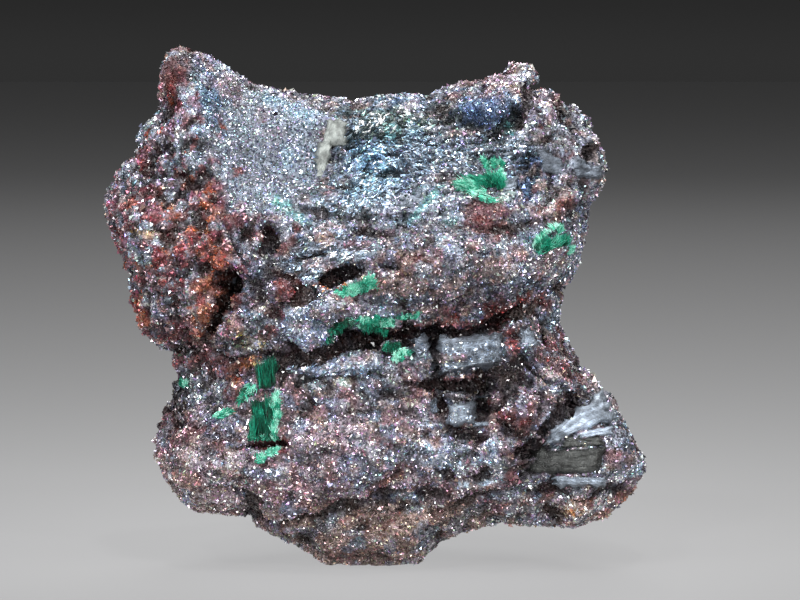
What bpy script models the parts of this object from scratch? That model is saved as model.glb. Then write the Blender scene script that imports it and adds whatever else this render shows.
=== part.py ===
"""A lepidocrocite specimen with malachite, about 41 mm wide.

One crusted mass of lepidocrocite stands on a small flat. It is an upper and a lower block grown together
along a cleft, with a broken slab of fibres in the cleft and a split vein at the lower right. Green malachite
grows on it in ten places. The show face looks along -Y, and the origin is on the flat, under its weight.
"""

import itertools
import math

import bmesh
import bpy
import numpy as np
from mathutils import Matrix, Vector

MM = 0.001

# ---- Driving dimensions, in millimetres ----------------------------------------------------------
HEART_X, HEART_Z = -1.0, 19.3  # the point that the outline is seen round
FRONT_DEPTH = 11.0  # from the widest section to the front, before relief
BACK_DEPTH = 12.0
SQUARENESS = 2.5  # exponent of the section from front to back: 2 is an ellipse, more is boxier
FRONT_LEAN = 0.30  # draws the sphere's points towards the front, where the relief is finest
LEAN_BACK = 0.09  # how far the mass leans back as it rises, mm for each mm
RIM_WIDTH = 0.22  # share of the section over which the outline's small knobs fade out
RIM_INSET = 0.55  # how far the base form keeps inside the outline, for the relief that stands on it
RIM_CALM = 0.12  # share of the section over which swells die out towards the outline
FOOT = (-1.1, -1.4, 0.5)  # the point of the outline's plan that becomes the origin, on the flat it stands on
BODY_TRIANGLES = 7800
ROOT_GAP = 0.45  # clearance between malachite and the crust under it

# The outline as seen from the front, (x, z), clockwise from the right-hand waist.
OUTLINE = (
    (13.8, 18.1), (13.9, 16.2), (14.8, 14.3), (16.3, 12.9), (17.7, 11.6), (18.3, 9.5), (19.9, 7.4),
    (19.3, 6.1), (18.1, 5.0), (16.3, 3.2), (14.1, 2.9), (12.4, 2.4), (10.5, 2.9), (8.8, 2.8),
    (7.3, 1.8), (5.2, 1.3), (3.8, 0.0), (2.5, -0.9), (0.6, -1.2), (-2.7, -1.2), (-4.6, -0.4),
    (-6.7, 1.1), (-9.2, 2.1), (-10.2, 2.5), (-10.6, 3.5), (-12.4, 3.6), (-15.0, 3.8), (-15.9, 5.1),
    (-17.2, 6.5), (-18.0, 7.7), (-18.1, 9.0), (-17.8, 10.9), (-16.7, 12.2), (-16.5, 13.4),
    (-16.8, 15.4), (-18.7, 16.9), (-19.5, 19.0), (-20.0, 21.2), (-20.3, 23.1), (-21.2, 25.5),
    (-21.2, 27.1), (-20.4, 28.9), (-18.8, 31.0), (-18.6, 32.5), (-17.7, 33.7), (-17.2, 35.9),
    (-16.7, 37.4), (-15.9, 38.2), (-14.3, 38.2), (-12.9, 37.1), (-11.5, 36.4), (-9.9, 35.8),
    (-7.6, 35.5), (-4.7, 35.3), (-2.6, 35.2), (-0.9, 35.4), (3.1, 35.6), (4.9, 36.2), (7.3, 36.6),
    (8.5, 36.5), (9.1, 37.3), (10.0, 37.7), (10.8, 37.2), (10.9, 35.9), (12.9, 34.5), (15.0, 33.4),
    (16.2, 31.3), (16.9, 29.7), (16.4, 28.6), (15.8, 26.4), (15.3, 24.1), (15.0, 22.3), (14.2, 21.2),
    (13.8, 19.4),
)  # fmt: skip

# Swells and hollows of the front: x, z, half width, half height, turn in degrees, height.
# A height below 0 is a hollow.
FRONT_SWELLS = (
    (2.5, 31.0, 14.5, 4.6, 3, -3.2),  # the laminated basin under the crest
    (-9.3, 31.3, 4.4, 6.2, -20, -2.4),  # the smooth saddle beside the peak
    (-15.2, 33.0, 2.4, 5.5, 5, 1.4),  # ridge down from the peak
    (-16.0, 23.0, 6.5, 7.5, 0, 2.2),  # knobbly left lobe
    (3.5, 22.5, 12.5, 3.2, -4, 1.8),  # brow over the cleft
    (-5.5, 24.2, 4.5, 2.4, 0, 0.8),
    (-4.5, 18.9, 4.5, 1.9, -8, 1.3),
    (-4.2, 14.6, 4.6, 1.2, -3, 0.8),
    (6.3, 15.5, 6.4, 1.5, -4, 2.4),  # slab of fibres lying in the cleft
    (5.3, 11.2, 1.5, 1.2, 0, 1.6),
    (9.8, 11.6, 1.7, 2.4, 0, 1.5),
    (13.2, 14.8, 3.2, 3.4, 30, 1.1),
    (15.2, 7.8, 4.8, 3.0, -8, 2.2),  # the split vein
    (-3.0, 8.6, 9.5, 4.6, 0, 2.3),  # belly of the lower block
    (8.2, 8.3, 2.6, 2.1, 0, 1.6),
    (6.0, 5.6, 2.4, 1.0, -8, 0.9),
    (-13.2, 7.5, 4.2, 4.0, 0, 1.4),
    (0.6, 2.6, 8.0, 2.4, 0, 0.8),
    (14.6, 30.6, 2.4, 2.4, 0, 1.9),  # crater knob and its mouth
    (15.0, 30.3, 1.1, 0.9, 0, -2.4),
    (12.6, 33.4, 1.6, 1.4, 0, 1.4),
    (7.8, 33.5, 3.2, 1.4, -3, -1.5),  # blue hollow under the rim
    (-8.5, 20.5, 1.3, 1.0, 0, 1.1),
    (-10.6, 26.0, 1.2, 1.0, 0, 0.7),
)

# Clefts of the front: half width, depth, and the route (x, z) along the bottom.
FRONT_CLEFTS = (
    (3.0, 1.5, ((-16.0, 13.8), (-7.9, 15.3), (-0.8, 16.9), (6.8, 17.7), (13.5, 19.4))),
    (0.95, 3.6, ((-7.9, 15.7), (-4.1, 16.6), (-0.8, 17.1), (3.0, 17.3), (6.8, 17.8), (13.5, 19.4))),
    (0.95, 2.8, ((2.2, 13.3), (6.8, 13.3), (9.6, 13.0))),
    (0.75, 1.9, ((-7.4, 20.4), (-5.2, 21.2), (-3.4, 21.7), (-1.5, 22.4), (0.3, 23.1))),
    (0.80, 1.9, ((7.8, 8.0), (10.5, 8.6), (12.8, 9.9), (16.2, 12.4))),
    (0.55, 0.8, ((11.2, 6.2), (14.6, 6.0), (18.0, 6.3))),
    (1.30, 4.2, ((-10.9, 21.6), (-12.3, 19.8), (-13.9, 17.4))),
    (1.00, 1.4, ((-16.2, 13.8), (-13.9, 13.4), (-10.8, 13.7))),
    (0.60, 1.4, ((-9.2, 25.4), (-9.2, 23.2))),
)

# Ledges of the front: drop below the edge, how far the set-back runs on, and the edge (x, z).
FRONT_LEDGES = (
    (1.5, 3.4, ((-11.0, 3.6), (-5.2, 4.1), (-1.3, 5.6), (1.5, 6.3), (5.0, 6.9))),
    (0.8, 2.2, ((-8.0, 27.2), (-3.0, 26.3), (3.0, 26.6), (9.0, 28.2))),
    (0.6, 1.8, ((-2.0, 24.3), (5.0, 24.6), (12.5, 26.2))),
)

# The back, in the same form, with x as seen from the front.
BACK_SWELLS = (
    (7.0, 27.0, 9.0, 6.0, 20, 2.2),
    (-9.0, 24.0, 8.0, 7.0, 0, 1.8),
    (-2.0, 31.5, 6.0, 3.0, 0, -1.6),
    (-7.0, 9.5, 8.0, 5.5, 0, 1.6),
    (9.0, 9.0, 7.0, 5.0, -15, 2.0),
    (1.0, 17.5, 3.5, 2.2, 0, 1.2),
)
BACK_CLEFTS = (
    (2.6, 1.8, ((-17.0, 15.5), (-6.0, 14.5), (4.0, 17.0), (14.0, 18.5))),
    (0.90, 2.6, ((-13.0, 15.2), (-6.0, 14.8), (1.0, 14.2), (5.0, 16.6), (12.0, 18.2))),
    (0.80, 1.8, ((0.0, 33.0), (-1.5, 27.0), (1.0, 21.0))),
    (0.80, 1.8, ((1.0, 11.0), (2.5, 6.0), (0.5, 2.0))),
)
BACK_LEDGES = (
    (1.2, 3.2, ((-16.0, 27.0), (-8.0, 28.5), (2.0, 27.0))),
    (1.1, 3.0, ((2.0, 9.5), (8.0, 10.5), (15.0, 9.0))),
)

# Malachite: name, half width, reach and turn of its blades in degrees, and the route (x, z) it grows along.
MALACHITE = (
    ("malachite_spray_top", 0.95, 1.5, -30, ((6.7, 29.9), (7.9, 29.6), (7.2, 28.4))),
    ("malachite_plume_top", 0.60, 1.3, -25, ((3.6, 27.9), (5.0, 27.2), (6.4, 26.6))),
    ("malachite_tuft_right", 0.90, 1.2, 25, ((11.1, 23.7), (12.2, 24.3), (13.0, 23.8))),
    ("malachite_tuft_centre", 0.75, 1.2, 45, ((-3.7, 20.2), (-2.6, 20.6), (-1.5, 21.2))),
    ("malachite_ledge_growth", 0.80, 1.0, -80, ((-3.2, 18.5), (-1.2, 18.3), (0.3, 18.1), (2.0, 18.6))),
    ("malachite_cleft_patch", 0.75, 0.9, -60, ((0.0, 15.9), (1.1, 15.3))),
    ("malachite_blade_bunch", 0.90, 2.0, 88, ((-9.5, 14.8), (-9.1, 13.2), (-9.7, 11.6), (-9.6, 10.0))),
    ("malachite_chips_left", 0.55, 0.9, 50, ((-13.0, 10.9), (-12.1, 11.3), (-11.6, 12.2))),
    ("malachite_chips_low", 0.50, 0.8, 30, ((-9.9, 7.5), (-8.8, 8.0))),
    ("malachite_edge_tuft", 0.50, 0.9, 80, ((-15.3, 13.3), (-15.1, 14.1))),
)

# Relief that runs over the whole mass: height, size and seed of its lumps, and the knobs.
LUMPS = ((0.70, 7.0, 3), (0.50, 3.1, 11), (0.25, 1.5, 23))
KNOB_HEIGHT, KNOB_SIZE = 0.9, 2.1
SADDLE = (-9.3, 31.3, 5.5, 7.0, -20, 1.6)  # smooth stretch beside the peak that has no knobs

# Broken faces of the back and sides: the direction each looks in, and its distance from the heart in mm.
BREAKS = (
    ((0.30, 0.93, 0.20), 11.2),
    ((-0.42, 0.86, 0.28), 11.8),
    ((0.10, 0.90, -0.42), 12.9),
    ((-0.60, 0.72, -0.35), 12.4),
    ((0.82, 0.55, 0.15), 15.0),
    ((-0.90, 0.40, 0.18), 18.2),
    ((0.55, 0.62, -0.56), 16.2),
    ((0.05, 0.62, 0.78), 16.2),
    ((-0.86, -0.38, -0.34), 17.6),
)
BREAK_LEFT = 0.15  # share of the rounded form that still stands over a broken face

# Colour, roughness and metallic value of each material.
CRUST_LOOK = ((0.30, 0.25, 0.28, 1.0), 0.32, 0.75)
MALACHITE_LOOK = ((0.02, 0.42, 0.24, 1.0), 0.35, 0.0)


# ---- Patterns on points --------------------------------------------------------------------------
def eased(t):
    """0 to 1 with level ends."""
    t = np.clip(t, 0.0, 1.0)
    return t * t * (3.0 - 2.0 * t)


def corner_value(cells, seed):
    """A fixed value from -1 to 1 for each whole-number cell, the same on every run."""
    mixed = cells @ np.array([374761393, 668265263, 1440662683]) + seed * 974711
    mixed = (mixed ^ (mixed >> 13)) * 1274126177
    mixed = mixed ^ (mixed >> 16)
    return (mixed & 0xFFFF) / 32767.5 - 1.0


def lumps(points, size, seed):
    """Smooth noise from -1 to 1: values at the corners of cells of this size, blended between them."""
    scaled = points / size
    cell = np.floor(scaled).astype(np.int64)
    blend = eased(scaled - cell)
    total = np.zeros(len(points))
    for corner in itertools.product((0, 1), repeat=3):
        weight = np.where(corner, blend, 1.0 - blend).prod(axis=1)
        total += weight * corner_value(cell + corner, seed)
    return total


def knobs(points, size, seed):
    """Round knobs, 1 at each one's middle and falling to 0 about halfway to the next."""
    scaled = points / size
    cell = np.floor(scaled).astype(np.int64)
    nearest = np.full(len(points), 9.0)
    for offset in itertools.product((-1, 0, 1), repeat=3):
        there = cell + offset
        jitter = np.stack([corner_value(there, seed + k) for k in range(3)], axis=1)
        middle = there + 0.5 + 0.4 * jitter
        nearest = np.minimum(nearest, ((scaled - middle) ** 2).sum(axis=1))
    return np.clip(1.0 - nearest / 0.6, 0.0, 1.0)


# ---- The mass ------------------------------------------------------------------------------------
def outline_radius():
    """Radius of the outline about the heart at 720 even angles, sharp and with its knobs smoothed."""
    corners = np.array(OUTLINE) - (HEART_X, HEART_Z)
    around = np.arctan2(corners[:, 1], corners[:, 0])
    order = np.argsort(around)
    angles = np.linspace(-math.pi, math.pi, 720, endpoint=False)
    sharp = np.interp(angles, around[order], np.hypot(*corners.T)[order], period=2 * math.pi) - RIM_INSET
    window = np.hanning(61)
    padded = np.concatenate([sharp[-30:], sharp, sharp[:30]])
    return angles, sharp, np.convolve(padded, window / window.sum(), mode="valid")


def base_form(directions):
    """The smooth mass in mm: the outline with a squared-off section, then the broken faces."""
    angles, sharp, smooth = outline_radius()
    x, y, z = directions.T
    side = np.hypot(x, z)
    size = (side**SQUARENESS + np.abs(y) ** SQUARENESS) ** (1.0 / SQUARENESS)
    side, deep = side / size, y / size
    angle = np.arctan2(z, x)
    at_rim = eased((side - (1.0 - RIM_WIDTH)) / RIM_WIDTH)
    fine = np.interp(angle, angles, sharp, period=2 * math.pi)
    broad = np.interp(angle, angles, smooth, period=2 * math.pi)
    radius = side * (broad + at_rim * (fine - broad))
    points = np.stack([HEART_X + radius * np.cos(angle), deep, HEART_Z + radius * np.sin(angle)], axis=1)
    points[:, 1] *= np.where(deep < 0.0, FRONT_DEPTH, BACK_DEPTH)
    points[:, 1] += LEAN_BACK * (points[:, 2] - HEART_Z)
    for facing, distance in BREAKS:
        facing = np.array(facing) / np.linalg.norm(facing)
        over = (points - (HEART_X, 0.0, HEART_Z)) @ facing - distance
        points -= facing * ((1.0 - BREAK_LEFT) * np.clip(over, 0.0, None))[:, None]
    return points, side


def swell(x, z, shape):
    """Height of one rounded swell or hollow."""
    middle_x, middle_z, half_x, half_z, turn, height = shape
    c, s = math.cos(math.radians(turn)), math.sin(math.radians(turn))
    across, up = x - middle_x, z - middle_z
    reach = ((across * c - up * s) / half_x) ** 2 + ((across * s + up * c) / half_z) ** 2
    return height * np.clip(1.0 - reach, 0.0, 1.0) ** 1.5


def cleft(x, z, shape):
    """Depth of one cleft: deepest on its route, tapering to its ends."""
    half_width, depth, route = shape
    route = np.array(route)
    lengths = np.hypot(*np.diff(route, axis=0).T)
    nearest, along = np.full(len(x), 99.0), np.zeros(len(x))
    for k, (start, end) in enumerate(zip(route[:-1], route[1:])):
        step = end - start
        t = np.clip(((x - start[0]) * step[0] + (z - start[1]) * step[1]) / (step @ step), 0.0, 1.0)
        distance = np.hypot(x - start[0] - t * step[0], z - start[1] - t * step[1])
        closer = distance < nearest
        nearest = np.where(closer, distance, nearest)
        along = np.where(closer, (lengths[:k].sum() + t * lengths[k]) / lengths.sum(), along)
    taper = eased(4.0 * np.minimum(along, 1.0 - along) + 0.3)
    return -depth * eased(1.0 - nearest / half_width) * taper


def ledge(x, z, shape):
    """Set-back under one ledge's edge, which eases away below and at both ends."""
    drop, run, edge = shape
    edge = np.array(edge)
    below = np.interp(x, edge[:, 0], edge[:, 1]) - z
    inside = eased((x - edge[0, 0]) / 2.0) * eased((edge[-1, 0] - x) / 2.0)
    return -drop * inside * eased(below / 0.5) * eased((run - below) / run)


def relief(points, side):
    """How far each point moves out along its normal, in mm. Swells die out towards the outline."""
    x, y, z = points.T
    front = eased((1.6 - y) / 3.2)
    inner = eased((1.0 - side) / RIM_CALM)
    height = sum(high * lumps(points, size, seed) for high, size, seed in LUMPS)
    left_lobe = eased((-9.5 - x) / 3.0) * eased((z - 14.0) / 3.0)
    knobbly = np.clip(0.35 + left_lobe + 0.5 * (1.0 - front), 0.0, 1.0)
    knobbly *= 1.0 - np.clip(swell(x, z, SADDLE) * front, 0.0, 1.0)
    height += KNOB_HEIGHT * (knobs(points, KNOB_SIZE, 31) - 0.4) * knobbly
    for face, swells, clefts, ledges in (
        (front, FRONT_SWELLS, FRONT_CLEFTS, FRONT_LEDGES),
        (1.0 - front, BACK_SWELLS, BACK_CLEFTS, BACK_LEDGES),
    ):
        height += face * inner * sum(swell(x, z, shape) for shape in swells)
        height += face * sum(cleft(x, z, shape) for shape in clefts)
        height += face * sum(ledge(x, z, shape) for shape in ledges)
    return height


# ---- Building ------------------------------------------------------------------------------------
def new_collection(name):
    collection = bpy.data.collections.new(name)
    bpy.context.scene.collection.children.link(collection)
    return collection


def new_material(name, look):
    colour, roughness, metallic = look
    material = bpy.data.materials.new(name)
    material.use_nodes = True
    shader = material.node_tree.nodes["Principled BSDF"]
    shader.inputs["Base Color"].default_value = colour
    shader.inputs["Roughness"].default_value = roughness
    shader.inputs["Metallic"].default_value = metallic
    return material


def object_from_bmesh(name, bm, collection, material=None):
    mesh = bpy.data.meshes.new(name)
    bm.to_mesh(mesh)
    bm.free()
    if material:
        mesh.materials.append(material)
    obj = bpy.data.objects.new(name, mesh)
    collection.objects.link(obj)
    return obj


def as_helper(obj):
    obj.hide_render = True
    obj.display_type = "WIRE"


def subtract(obj, cutter):
    modifier = obj.modifiers.new("cut_by_" + cutter.name, "BOOLEAN")
    modifier.operation = "DIFFERENCE"
    modifier.object = cutter


def vertex_array(bm, field):
    return np.array([getattr(v, field) for v in bm.verts])


def move_vertices(bm, points):
    for vertex, point in zip(bm.verts, points):
        vertex.co = point
    bm.normal_update()


def make_mass(collection, cutters, material):
    """The lepidocrocite: a sphere moved to the base form with its relief, thinned, and cut flat below."""
    bm = bmesh.new()
    bmesh.ops.create_icosphere(bm, subdivisions=7, radius=1.0)
    directions = vertex_array(bm, "co") - (0.0, FRONT_LEAN, 0.0)
    directions /= np.linalg.norm(directions, axis=1, keepdims=True)
    points, side = base_form(directions)
    move_vertices(bm, points)
    points += vertex_array(bm, "normal") * relief(points, side)[:, None]
    move_vertices(bm, (points - FOOT) * MM)
    triangles = len(bm.faces)
    mass = object_from_bmesh("lepidocrocite_mass", bm, collection, material)
    thin = mass.modifiers.new("thin", "DECIMATE")
    thin.ratio = BODY_TRIANGLES / triangles

    bm = bmesh.new()
    bmesh.ops.create_cube(bm, size=60 * MM, matrix=Matrix.Translation((0, 0, -30 * MM)))
    ground = object_from_bmesh("ground_cut", bm, cutters)
    as_helper(ground)
    subtract(mass, ground)
    return mass


def make_clearance(mass, cutters):
    """The mass grown by the root gap, which trims the malachite that stands on it."""
    evaluated = mass.evaluated_get(bpy.context.evaluated_depsgraph_get())
    grown = bpy.data.objects.new("mass_clearance", bpy.data.meshes.new_from_object(evaluated))
    cutters.objects.link(grown)
    grow = grown.modifiers.new("grow", "DISPLACE")
    grow.strength = ROOT_GAP * MM
    grow.mid_level = 0.0
    remesh = grown.modifiers.new("remesh", "REMESH")
    remesh.mode = "VOXEL"
    remesh.voxel_size = 0.3 * MM
    thin = grown.modifiers.new("thin", "DECIMATE")
    thin.ratio = 0.12
    as_helper(grown)
    return grown


def surface_point(mass, x, z):
    """Where the front of the mass lies behind (x, z), and its normal. Beside it, its nearest point."""
    before = (Vector((x, -40, z)) - Vector(FOOT)) * MM
    hit, place, normal, _ = mass.ray_cast(before, (0, 1, 0))
    if not hit:
        _, place, normal, _ = mass.closest_point_on_mesh(before + Vector((0, 37 * MM, 0)))
    return place, normal


def points_along(route, spacing):
    """Evenly spaced points (x, z) on a route."""
    route = np.array(route)
    lengths = np.hypot(*np.diff(route, axis=0).T)
    reached = np.concatenate([[0.0], np.cumsum(lengths)])
    stations = np.linspace(0.0, reached[-1], max(2, round(reached[-1] / spacing) + 1))
    return [[np.interp(station, reached, route[:, axis]) for axis in (0, 1)] for station in stations]


def add_blade(bm, root, direction, length, width):
    """One flat-faced blade: a five-sided prism that tapers to a chisel tip."""
    turn = direction.to_track_quat("Z", "Y").to_matrix().to_4x4()
    flatten = Matrix.Diagonal((1.0, 0.55, 1.0, 1.0))
    place = Matrix.Translation(root + direction * length * 0.5) @ turn @ flatten
    bmesh.ops.create_cone(
        bm, cap_ends=True, segments=5, radius1=width, radius2=width * 0.35, depth=length, matrix=place
    )


def keep_largest(obj):
    """Applies the modifiers and drops any crumb that the trimming has cut loose."""
    evaluated = obj.evaluated_get(bpy.context.evaluated_depsgraph_get())
    mesh = bpy.data.meshes.new_from_object(evaluated)
    obj.modifiers.clear()
    obj.data = mesh
    bm = bmesh.new()
    bm.from_mesh(mesh)
    left = set(bm.verts)
    islands = []
    while left:
        island, edge = set(), {left.pop()}
        while edge:
            island |= edge
            edge = {e.other_vert(v) for v in edge for e in v.link_edges} - island
        left -= island
        islands.append(island)
    largest = max(islands, key=len)
    bmesh.ops.delete(bm, geom=[v for v in bm.verts if v not in largest], context="VERTS")
    bm.to_mesh(mesh)
    bm.free()


def make_malachite(spec, seed, mass, clearance, collection, material):
    """A malachite growth: knobs along a route with blades fanned from them, fused and trimmed."""
    name, half_width, reach, turn, route = spec
    rng = np.random.default_rng(seed)
    along = Vector((math.cos(math.radians(turn)), 0.0, math.sin(math.radians(turn))))
    bm = bmesh.new()
    for x, z in points_along(route, 0.55 * half_width):
        place, normal = surface_point(mass, x, z)
        out = (normal + Vector((0.0, -0.8, 0.0))).normalized()
        knob = Matrix.Translation(place + out * 0.35 * MM) @ Matrix.Scale(half_width * MM, 4)
        bmesh.ops.create_icosphere(bm, subdivisions=2, radius=rng.uniform(0.8, 1.0), matrix=knob)
        for lean in (-1.0, -0.3, 0.4, 1.0):
            aside = Vector((rng.uniform(-0.6, 0.6), 0.0, rng.uniform(-0.6, 0.6))) * half_width * MM
            direction = (out * rng.uniform(0.5, 1.0) + along * (lean + rng.uniform(-0.3, 0.3))).normalized()
            add_blade(bm, place + aside, direction, reach * rng.uniform(0.8, 1.2) * MM, 0.26 * MM)
    growth = object_from_bmesh(name, bm, collection, material)
    fuse = growth.modifiers.new("fuse", "REMESH")
    fuse.mode = "VOXEL"
    fuse.voxel_size = 0.11 * MM
    thin = growth.modifiers.new("thin", "DECIMATE")
    thin.ratio = 0.027
    subtract(growth, clearance)
    keep_largest(growth)
    return growth


def clear_scene():
    for obj in list(bpy.data.objects):
        bpy.data.objects.remove(obj)


def main():
    clear_scene()
    parts = new_collection("lepidocrocite_specimen")
    cutters = new_collection("cutters")
    mass = make_mass(parts, cutters, new_material("crust", CRUST_LOOK))
    bpy.context.view_layer.update()
    clearance = make_clearance(mass, cutters)
    green = new_material("malachite", MALACHITE_LOOK)
    for seed, spec in enumerate(MALACHITE):
        make_malachite(spec, seed, mass, clearance, parts, green)


main()
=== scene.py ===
"""The looks of a lepidocrocite specimen with malachite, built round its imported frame.

The mass is one fine closed surface in the form of its solid. A druse of small flat crystals covers it, thin
flakes lie in the basin under the crest, and fibres of malachite stand in tufts. Forms are worked out in
mm on the plan of the outline, in which x runs to the right, y to the back and z up, and FOOT is the
frame's origin.
"""

import itertools
import logging
import math
from dataclasses import dataclass, field
from enum import Enum
from typing import Any

import bpy
import numpy as np
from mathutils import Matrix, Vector


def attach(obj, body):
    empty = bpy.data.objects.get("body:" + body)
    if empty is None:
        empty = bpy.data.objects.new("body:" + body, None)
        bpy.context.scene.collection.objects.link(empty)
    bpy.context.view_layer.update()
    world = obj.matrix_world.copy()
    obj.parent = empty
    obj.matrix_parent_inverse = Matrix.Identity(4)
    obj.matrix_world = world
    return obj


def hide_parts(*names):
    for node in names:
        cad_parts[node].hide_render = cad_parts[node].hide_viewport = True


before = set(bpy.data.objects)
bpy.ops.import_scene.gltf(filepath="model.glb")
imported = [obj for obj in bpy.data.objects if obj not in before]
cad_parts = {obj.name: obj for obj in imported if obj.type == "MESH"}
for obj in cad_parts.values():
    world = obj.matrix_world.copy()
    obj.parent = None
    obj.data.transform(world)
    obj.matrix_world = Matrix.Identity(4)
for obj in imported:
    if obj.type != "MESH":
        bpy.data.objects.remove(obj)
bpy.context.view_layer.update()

log = logging.getLogger("specimen")
Array = np.ndarray
Triple = tuple[float, float, float]
Route = tuple[tuple[float, float], ...]

MM = 0.001
FOOT = (-1.1, -1.4, 0.5)
HEART = (-1.0, 0.0, 19.3)
BODY = "root"
MASS_NODE = "lepidocrocite_mass"


class Tint(Enum):
    """Colours of the minerals, and of painted shade: linear red, green and blue, and how metallic they are."""

    LILAC = (0.330, 0.350, 0.435, 0.90)
    ROSE = (0.40, 0.32, 0.365, 0.85)
    UMBER = (0.455, 0.335, 0.300, 0.75)
    PLUM = (0.20, 0.125, 0.14, 0.70)
    MAROON = (0.15, 0.026, 0.022, 0.20)
    WINE = (0.17, 0.034, 0.055, 0.40)
    RUST = (0.30, 0.070, 0.020, 0.15)
    AMBER = (0.42, 0.16, 0.02, 0.15)
    OCHRE = (0.62, 0.38, 0.03, 0.10)
    SILVER = (0.445, 0.515, 0.610, 0.95)
    ICE = (0.46, 0.66, 0.82, 0.90)
    STEEL = (0.235, 0.270, 0.325, 0.90)
    SLATE = (0.095, 0.150, 0.265, 0.80)
    # dark green-black mineral of the basin, also the painted shade colour in the basin's hollows and recesses
    INK = (0.024, 0.040, 0.044, 0.60)
    # painted shade: near black for the shade in cracks, clefts, pits and gaps
    BLACK = (0.008, 0.006, 0.006, 0.20)
    BLUE = (0.24, 0.35, 0.50, 0.90)
    TURQUOISE = (0.16, 0.48, 0.48, 0.40)
    MINT = (0.62, 0.86, 0.74, 0.60)
    BEIGE = (0.36, 0.39, 0.37, 0.20)
    VEIN = (0.10, 0.105, 0.10, 0.40)
    # painted shade: the dark brown of shaded hollows, laid in crevices by Painting and in some zones
    HOLLOW = (0.030, 0.013, 0.012, 0.30)


(
    LILAC, ROSE, UMBER, PLUM, MAROON, WINE, RUST, AMBER, OCHRE, SILVER, ICE,
    STEEL, SLATE, INK, BLACK, BLUE, TURQUOISE, MINT, BEIGE, VEIN, HOLLOW,
) = Tint  # fmt: skip
RED, GREEN, METAL, BARE, GRAIN, GLEAM = 0, 1, 3, 4, 5, 6  # columns of a look


# ---- Patterns on points --------------------------------------------------------------------------
def eased(t: Array) -> Array:
    """0 to 1 with level ends: t^2 (3 - 2 t) of t held between 0 and 1."""
    t = np.clip(t, 0.0, 1.0)
    return t * t * (3.0 - 2.0 * t)


def corner_value(cells: Array, seed: int) -> Array:
    """Gives each whole-number cell a fixed value.

    Args:
        cells: Whole-number cells, one row of three each.
        seed: Picks one of many sets of values.

    Returns:
        A value from -1 to 1 for each cell.
    """
    mixed = cells @ np.array([374761393, 668265263, 1440662683]) + seed * 974711
    mixed = (mixed ^ (mixed >> 13)) * 1274126177
    mixed = mixed ^ (mixed >> 16)
    return (mixed & 0xFFFF) / 32767.5 - 1.0


def lumps(points: Array, size: float | Triple, seed: int) -> Array:
    """Smooth noise: the values at the eight corners of each point's cell, blended with eased weights.

    Args:
        points: Places in mm, one row each.
        size: Size of the cells in mm, one number or one for each axis.
        seed: Picks one of many patterns.

    Returns:
        A value from -1 to 1 for each point.
    """
    scaled = points / np.asarray(size)
    cell = np.floor(scaled).astype(np.int64)
    blend = eased(scaled - cell)
    total = np.zeros(len(points))
    for corner in itertools.product((0, 1), repeat=3):
        weight = np.where(corner, blend, 1.0 - blend).prod(axis=1)
        total += weight * corner_value(cell + corner, seed)
    return total


def nearest_knob(points: Array, size: float | Triple, seed: int) -> tuple[Array, Array]:
    """Finds the nearest of the scattered middles, one in each cell.

    Args:
        points: Places in mm, one row each.
        size: Size of the cells in mm, one number or one for each axis.
        seed: Picks one of many patterns.

    Returns:
        The squared distance to the nearest middle, in cells, and that middle's own value from -1 to 1.
    """
    scaled = points / np.asarray(size)
    cell = np.floor(scaled).astype(np.int64)
    nearest = np.full(len(points), 9.0)
    own = np.zeros(len(points))
    for offset in itertools.product((-1, 0, 1), repeat=3):
        there = cell + offset
        jitter = np.stack([corner_value(there, seed + k) for k in range(3)], axis=1)
        distance = ((scaled - there - 0.5 - 0.4 * jitter) ** 2).sum(axis=1)
        closer = distance < nearest
        nearest = np.where(closer, distance, nearest)
        own = np.where(closer, corner_value(there, seed + 7), own)
    return nearest, own


def knobs(points: Array, size: float, seed: int) -> Array:
    """Round knobs: 1 - d / 0.6 of the squared distance d to the nearest middle, held between 0 and 1."""
    return np.clip(1.0 - nearest_knob(points, size, seed)[0] / 0.6, 0.0, 1.0)


def front_share(points: Array) -> Array:
    """1 on the show face, 0 on the back, and eased from one to the other over 3.2 mm about the rim."""
    return eased((1.6 - points[:, 1]) / 3.2)


@dataclass(frozen=True)
class Eye:
    """An eye that looks at the show face from a little above, and how the plan of the outline looks to it.

    Attributes:
        aim: Where it looks, in mm.
        height: Its height above the level, in degrees.
        distance: Its distance in mm.
    """

    aim: Triple = (0.75, 0.0, 19.65)
    height: float = 4.0
    distance: float = 250.0

    def seen(self, points: Array) -> Array:
        """Where points stand on the plan for the eye.

        With e its height and d its distance, a point lies at s (x - x0) across and at
        s ((z - z0) cos e + y sin e) up from the middle (x0, z0), and s = d / (d + y cos e - (z - z0) sin e).
        """
        angle = math.radians(self.height)
        x, y, z = (points - self.aim).T
        scale = self.distance / (self.distance + y * math.cos(angle) - z * math.sin(angle))
        up = z * math.cos(angle) + y * math.sin(angle)
        return np.stack([x * scale + self.aim[0], up * scale + self.aim[2]], axis=1)

    def plan(self, points: Array) -> Array:
        """Points with x and z as they are seen on the show face, and as they are on the back."""
        moved = points.copy()
        moved[:, [0, 2]] += front_share(points)[:, None] * (self.seen(points) - points[:, [0, 2]])
        return moved

    def stand(self, x: Array, z: Array, y: Array) -> Array:
        """The points of this y that are seen at (x, z): what seen does, turned round."""
        angle, up = math.radians(self.height), z - self.aim[2]
        c, s = math.cos(angle), math.sin(angle)
        height = (up * (1.0 + y * c / self.distance) - y * s) / (c + up * s / self.distance)
        scale = self.distance / (self.distance + y * c - height * s)
        return np.stack([self.aim[0] + (x - self.aim[0]) / scale, y, self.aim[2] + height], axis=1)


EYE = Eye()


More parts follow.
